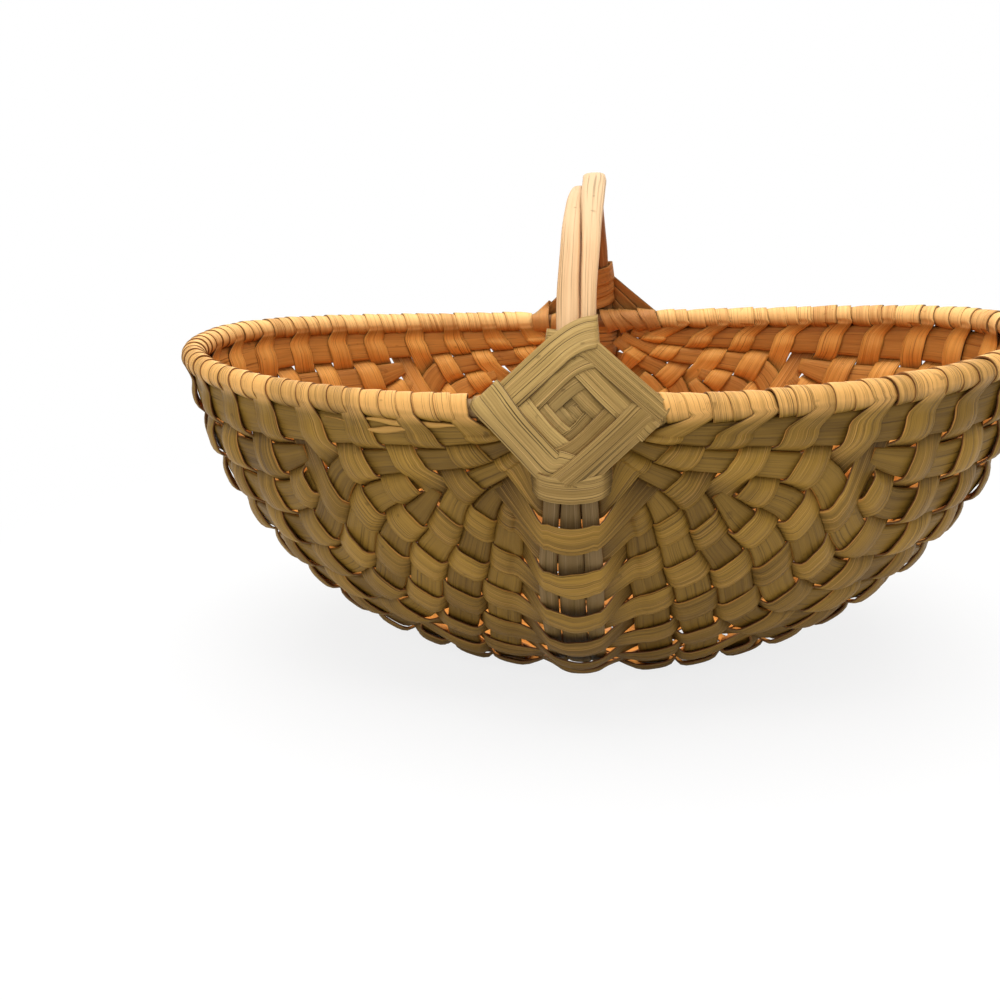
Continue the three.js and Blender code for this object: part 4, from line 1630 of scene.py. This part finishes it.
    def on_arm(self, arm: Arm, along: float, aside: float, lift: float, end: int) -> np.ndarray:
        """A point beside an arm, aside from it in the direction of the winding."""
        way = arm.value[0] + arm.value[1]
        if arm.upright:
            return self.on_hoop(way * along, -way * aside, end, lift)
        return self.on_rim(way * along, way * aside, end, lift)

    def tail(self, end: int) -> Patch:
        """The short band that crosses the keel right under the diamond."""
        mirrored = [(-x, lift) for x, lift in self.tail_places]
        ways = mirrored + list(self.tail_places[-2::-1])
        rise = self.form.strand_thickness / 2 - self.tail_sunk
        halves = self.lateral * self.tail_width / 2
        sections = []
        for x, lift in ways:
            drop = self.tail_drop - self.tail_sag * x * x
            sections.append([self.on_hoop(-drop - half, x, end, rise + lift) for half in halves])
        points = spline(np.array(sections), self.steps)
        lifts = np.interp(np.linspace(0, 1, len(points)), np.linspace(0, 1, len(ways)), [w[1] for w in ways])
        # Painted shade: the tail's lifts set its relief, so its sunken ends take the hollows' dark colour.
        return Patch(points, self.lateral * self.width / 2, self.tail_tone, lifts / self.tail_places[-1][1])

    def make(self, end: int, name: str) -> None:
        """Makes one lashing.

        Args:
            end: The sign of Y.
            name: Its name.
        """
        track = Track()
        low, rise = self.reliefs
        for step in range(self.last_step + 1):
            tone = self.leg_tones[step % 4] + self.tone_change * math.sin(step * 2.3 + 0.4)
            # Painted shade: earlier rounds, which lie under later ones, get a lower relief and so more of the
            # hollows' dark colour.
            relief = low + rise * step / (self.last_step + 1)
            sections = self.leg_sections(step, end)
            if step < self.last_step:
                sections += self.behind_sections(step, end)
            track.add([(section, relief) for section in sections], tone)
        Piece(
            f"lashing_splint_{name}",
            Slot.LASHING,
            [track.patch(self.steps, self.width / 2, self.grain_start * end), self.tail(end)],
            self.materials,
            (f"lashing_{name}",),
            self.thickness,
        ).build()


@dataclass(frozen=True)
class Lamp:
    """A soft square lamp that looks at the basket, in metres and watts."""

    name: str
    place: Triple
    power: float
    size: float = 1.0
    target: Triple = (0.0, 0.0, 0.1)

    def build(self) -> None:
        """Hangs the lamp."""
        data = bpy.data.lights.new(self.name, "AREA")
        data.energy = self.power
        data.size = self.size
        lamp = bpy.data.objects.new(self.name, data)
        lamp.location = self.place
        lamp.rotation_mode = "QUATERNION"
        way = Vector(self.target) - Vector(self.place)
        lamp.rotation_quaternion = way.to_track_quat("-Z", "Y")
        bpy.context.scene.collection.objects.link(lamp)


@dataclass(frozen=True)
class Studio:
    """Pale floor, soft light, and the camera at the photograph's angle, in metres."""

    camera_place: Triple = (0.0209, -0.3693, 0.2048)
    pitch_down: float = 20.37
    heading_left: float = 9.21
    roll: float = 2.43
    lens: float = 32.24
    sensor: float = 36.0
    clip_start: float = 0.01
    lamps: tuple[Lamp, ...] = (
        Lamp("overhead", (0.0, -0.02, 1.1), 13.0),
        Lamp("front_fill", (-0.5, -1.2, 0.7), 3.6),
    )
    world_light: float = 0.5
    floor_size: float = 6.0
    floor_height: float = -0.0005
    floor_roughness: float = 0.6
    floor_colour: Colour = (0.93, 0.93, 0.93)
    floor_fade: Four = (0.16, 0.4, 0.8, 1.0)

    def build(self) -> None:
        """Makes the camera, the floor, the lamps and the world."""
        scene = bpy.context.scene
        scene.view_settings.view_transform = "Standard"
        camera = bpy.data.cameras.new("camera")
        camera.lens = self.lens
        camera.sensor_width = self.sensor
        camera.clip_start = self.clip_start
        holder = bpy.data.objects.new("camera", camera)
        holder.location = self.camera_place
        aim = Euler((math.radians(90 - self.pitch_down), 0, math.radians(self.heading_left)))
        turned = aim.to_matrix() @ Matrix.Rotation(math.radians(-self.roll), 3, "Z")
        holder.rotation_euler = turned.to_euler()
        scene.collection.objects.link(holder)
        scene.camera = holder
        self.floor()
        for lamp in self.lamps:
            lamp.build()
        self.world()

    def world(self) -> None:
        """Makes a world that looks white and gives soft light."""
        world = bpy.data.worlds.new("studio")
        nodes = Nodes(world)
        path = nodes.add("LightPath").outputs
        seen = nodes.math("MAXIMUM", path["Is Camera Ray"], path["Is Glossy Ray"])
        strength = nodes.add("MapRange", {"Value": seen, "To Min": self.world_light, "To Max": 1.0})
        inputs = {"Color": (1, 1, 1, 1), "Strength": strength.outputs[0]}
        nodes.add("OutputWorld", {"Surface": nodes.add("Background", inputs).outputs[0]})
        bpy.context.scene.world = world

    def floor(self) -> None:
        """Makes a pale floor that keeps the basket's shadow and fades to white around it."""
        mesh = bpy.data.meshes.new("floor")
        bm = bmesh.new()
        bmesh.ops.create_grid(bm, x_segments=1, y_segments=1, size=self.floor_size)
        bm.to_mesh(mesh)
        bm.free()
        floor = bpy.data.objects.new("floor", mesh)
        floor.location.z = self.floor_height
        bpy.context.scene.collection.objects.link(floor)
        material = bpy.data.materials.new("floor_paper")
        nodes = Nodes(material)
        inputs = {"Color": (*self.floor_colour, 1), "Roughness": self.floor_roughness}
        paper = nodes.add("BsdfDiffuse", inputs).outputs[0]
        place = nodes.add("TexCoord").outputs["Object"]
        far = nodes.add("VectorMath", {0: place}, operation="LENGTH").outputs["Value"]
        ends = dict(zip(("From Min", "From Max", "To Min", "To Max"), self.floor_fade))
        share = nodes.add("MapRange", {"Value": far, **ends}).outputs[0]
        seen = nodes.math("MULTIPLY", share, nodes.add("LightPath").outputs["Is Camera Ray"])
        white = nodes.add("Emission").outputs[0]
        mixed = nodes.add("MixShader", {"Fac": seen, 1: paper, 2: white})
        nodes.add("OutputMaterial", {"Surface": mixed.outputs[0]})
        mesh.materials.append(material)
        floor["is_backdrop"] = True


def main() -> None:
    """Builds the basket around its frame and reports each piece."""
    logging.basicConfig(level=logging.INFO, format="%(message)s")
    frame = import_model()
    frame_box = [list(corner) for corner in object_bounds()]
    Studio().build()
    form = BasketForm()
    centre_z = form.rod_height * MM
    Hoops(form, RIM_FINISH.make(centre_z), HOOP_FINISH.make(centre_z)).build()
    Ribs(form, RIB_FINISH.make(centre_z)).build()
    # The edge material is painted shade on the splints' side faces.
    edge, splint = (finish.make(centre_z) for finish in (SHADED_EDGE_FINISH, WEAVER_FINISH))
    Weave(form, (splint, edge)).build()
    LooseFibres(form, splint).build()
    Lashing(form, (LASHING_FINISH.make(centre_z), edge)).build()
    bpy.context.view_layer.update()
    dressed_box = [list(corner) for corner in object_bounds()]
    log.info("%s: frame box %s, dressed box %s", type(frame).__name__, frame_box, dressed_box)


if __name__ == "__main__":
    main()
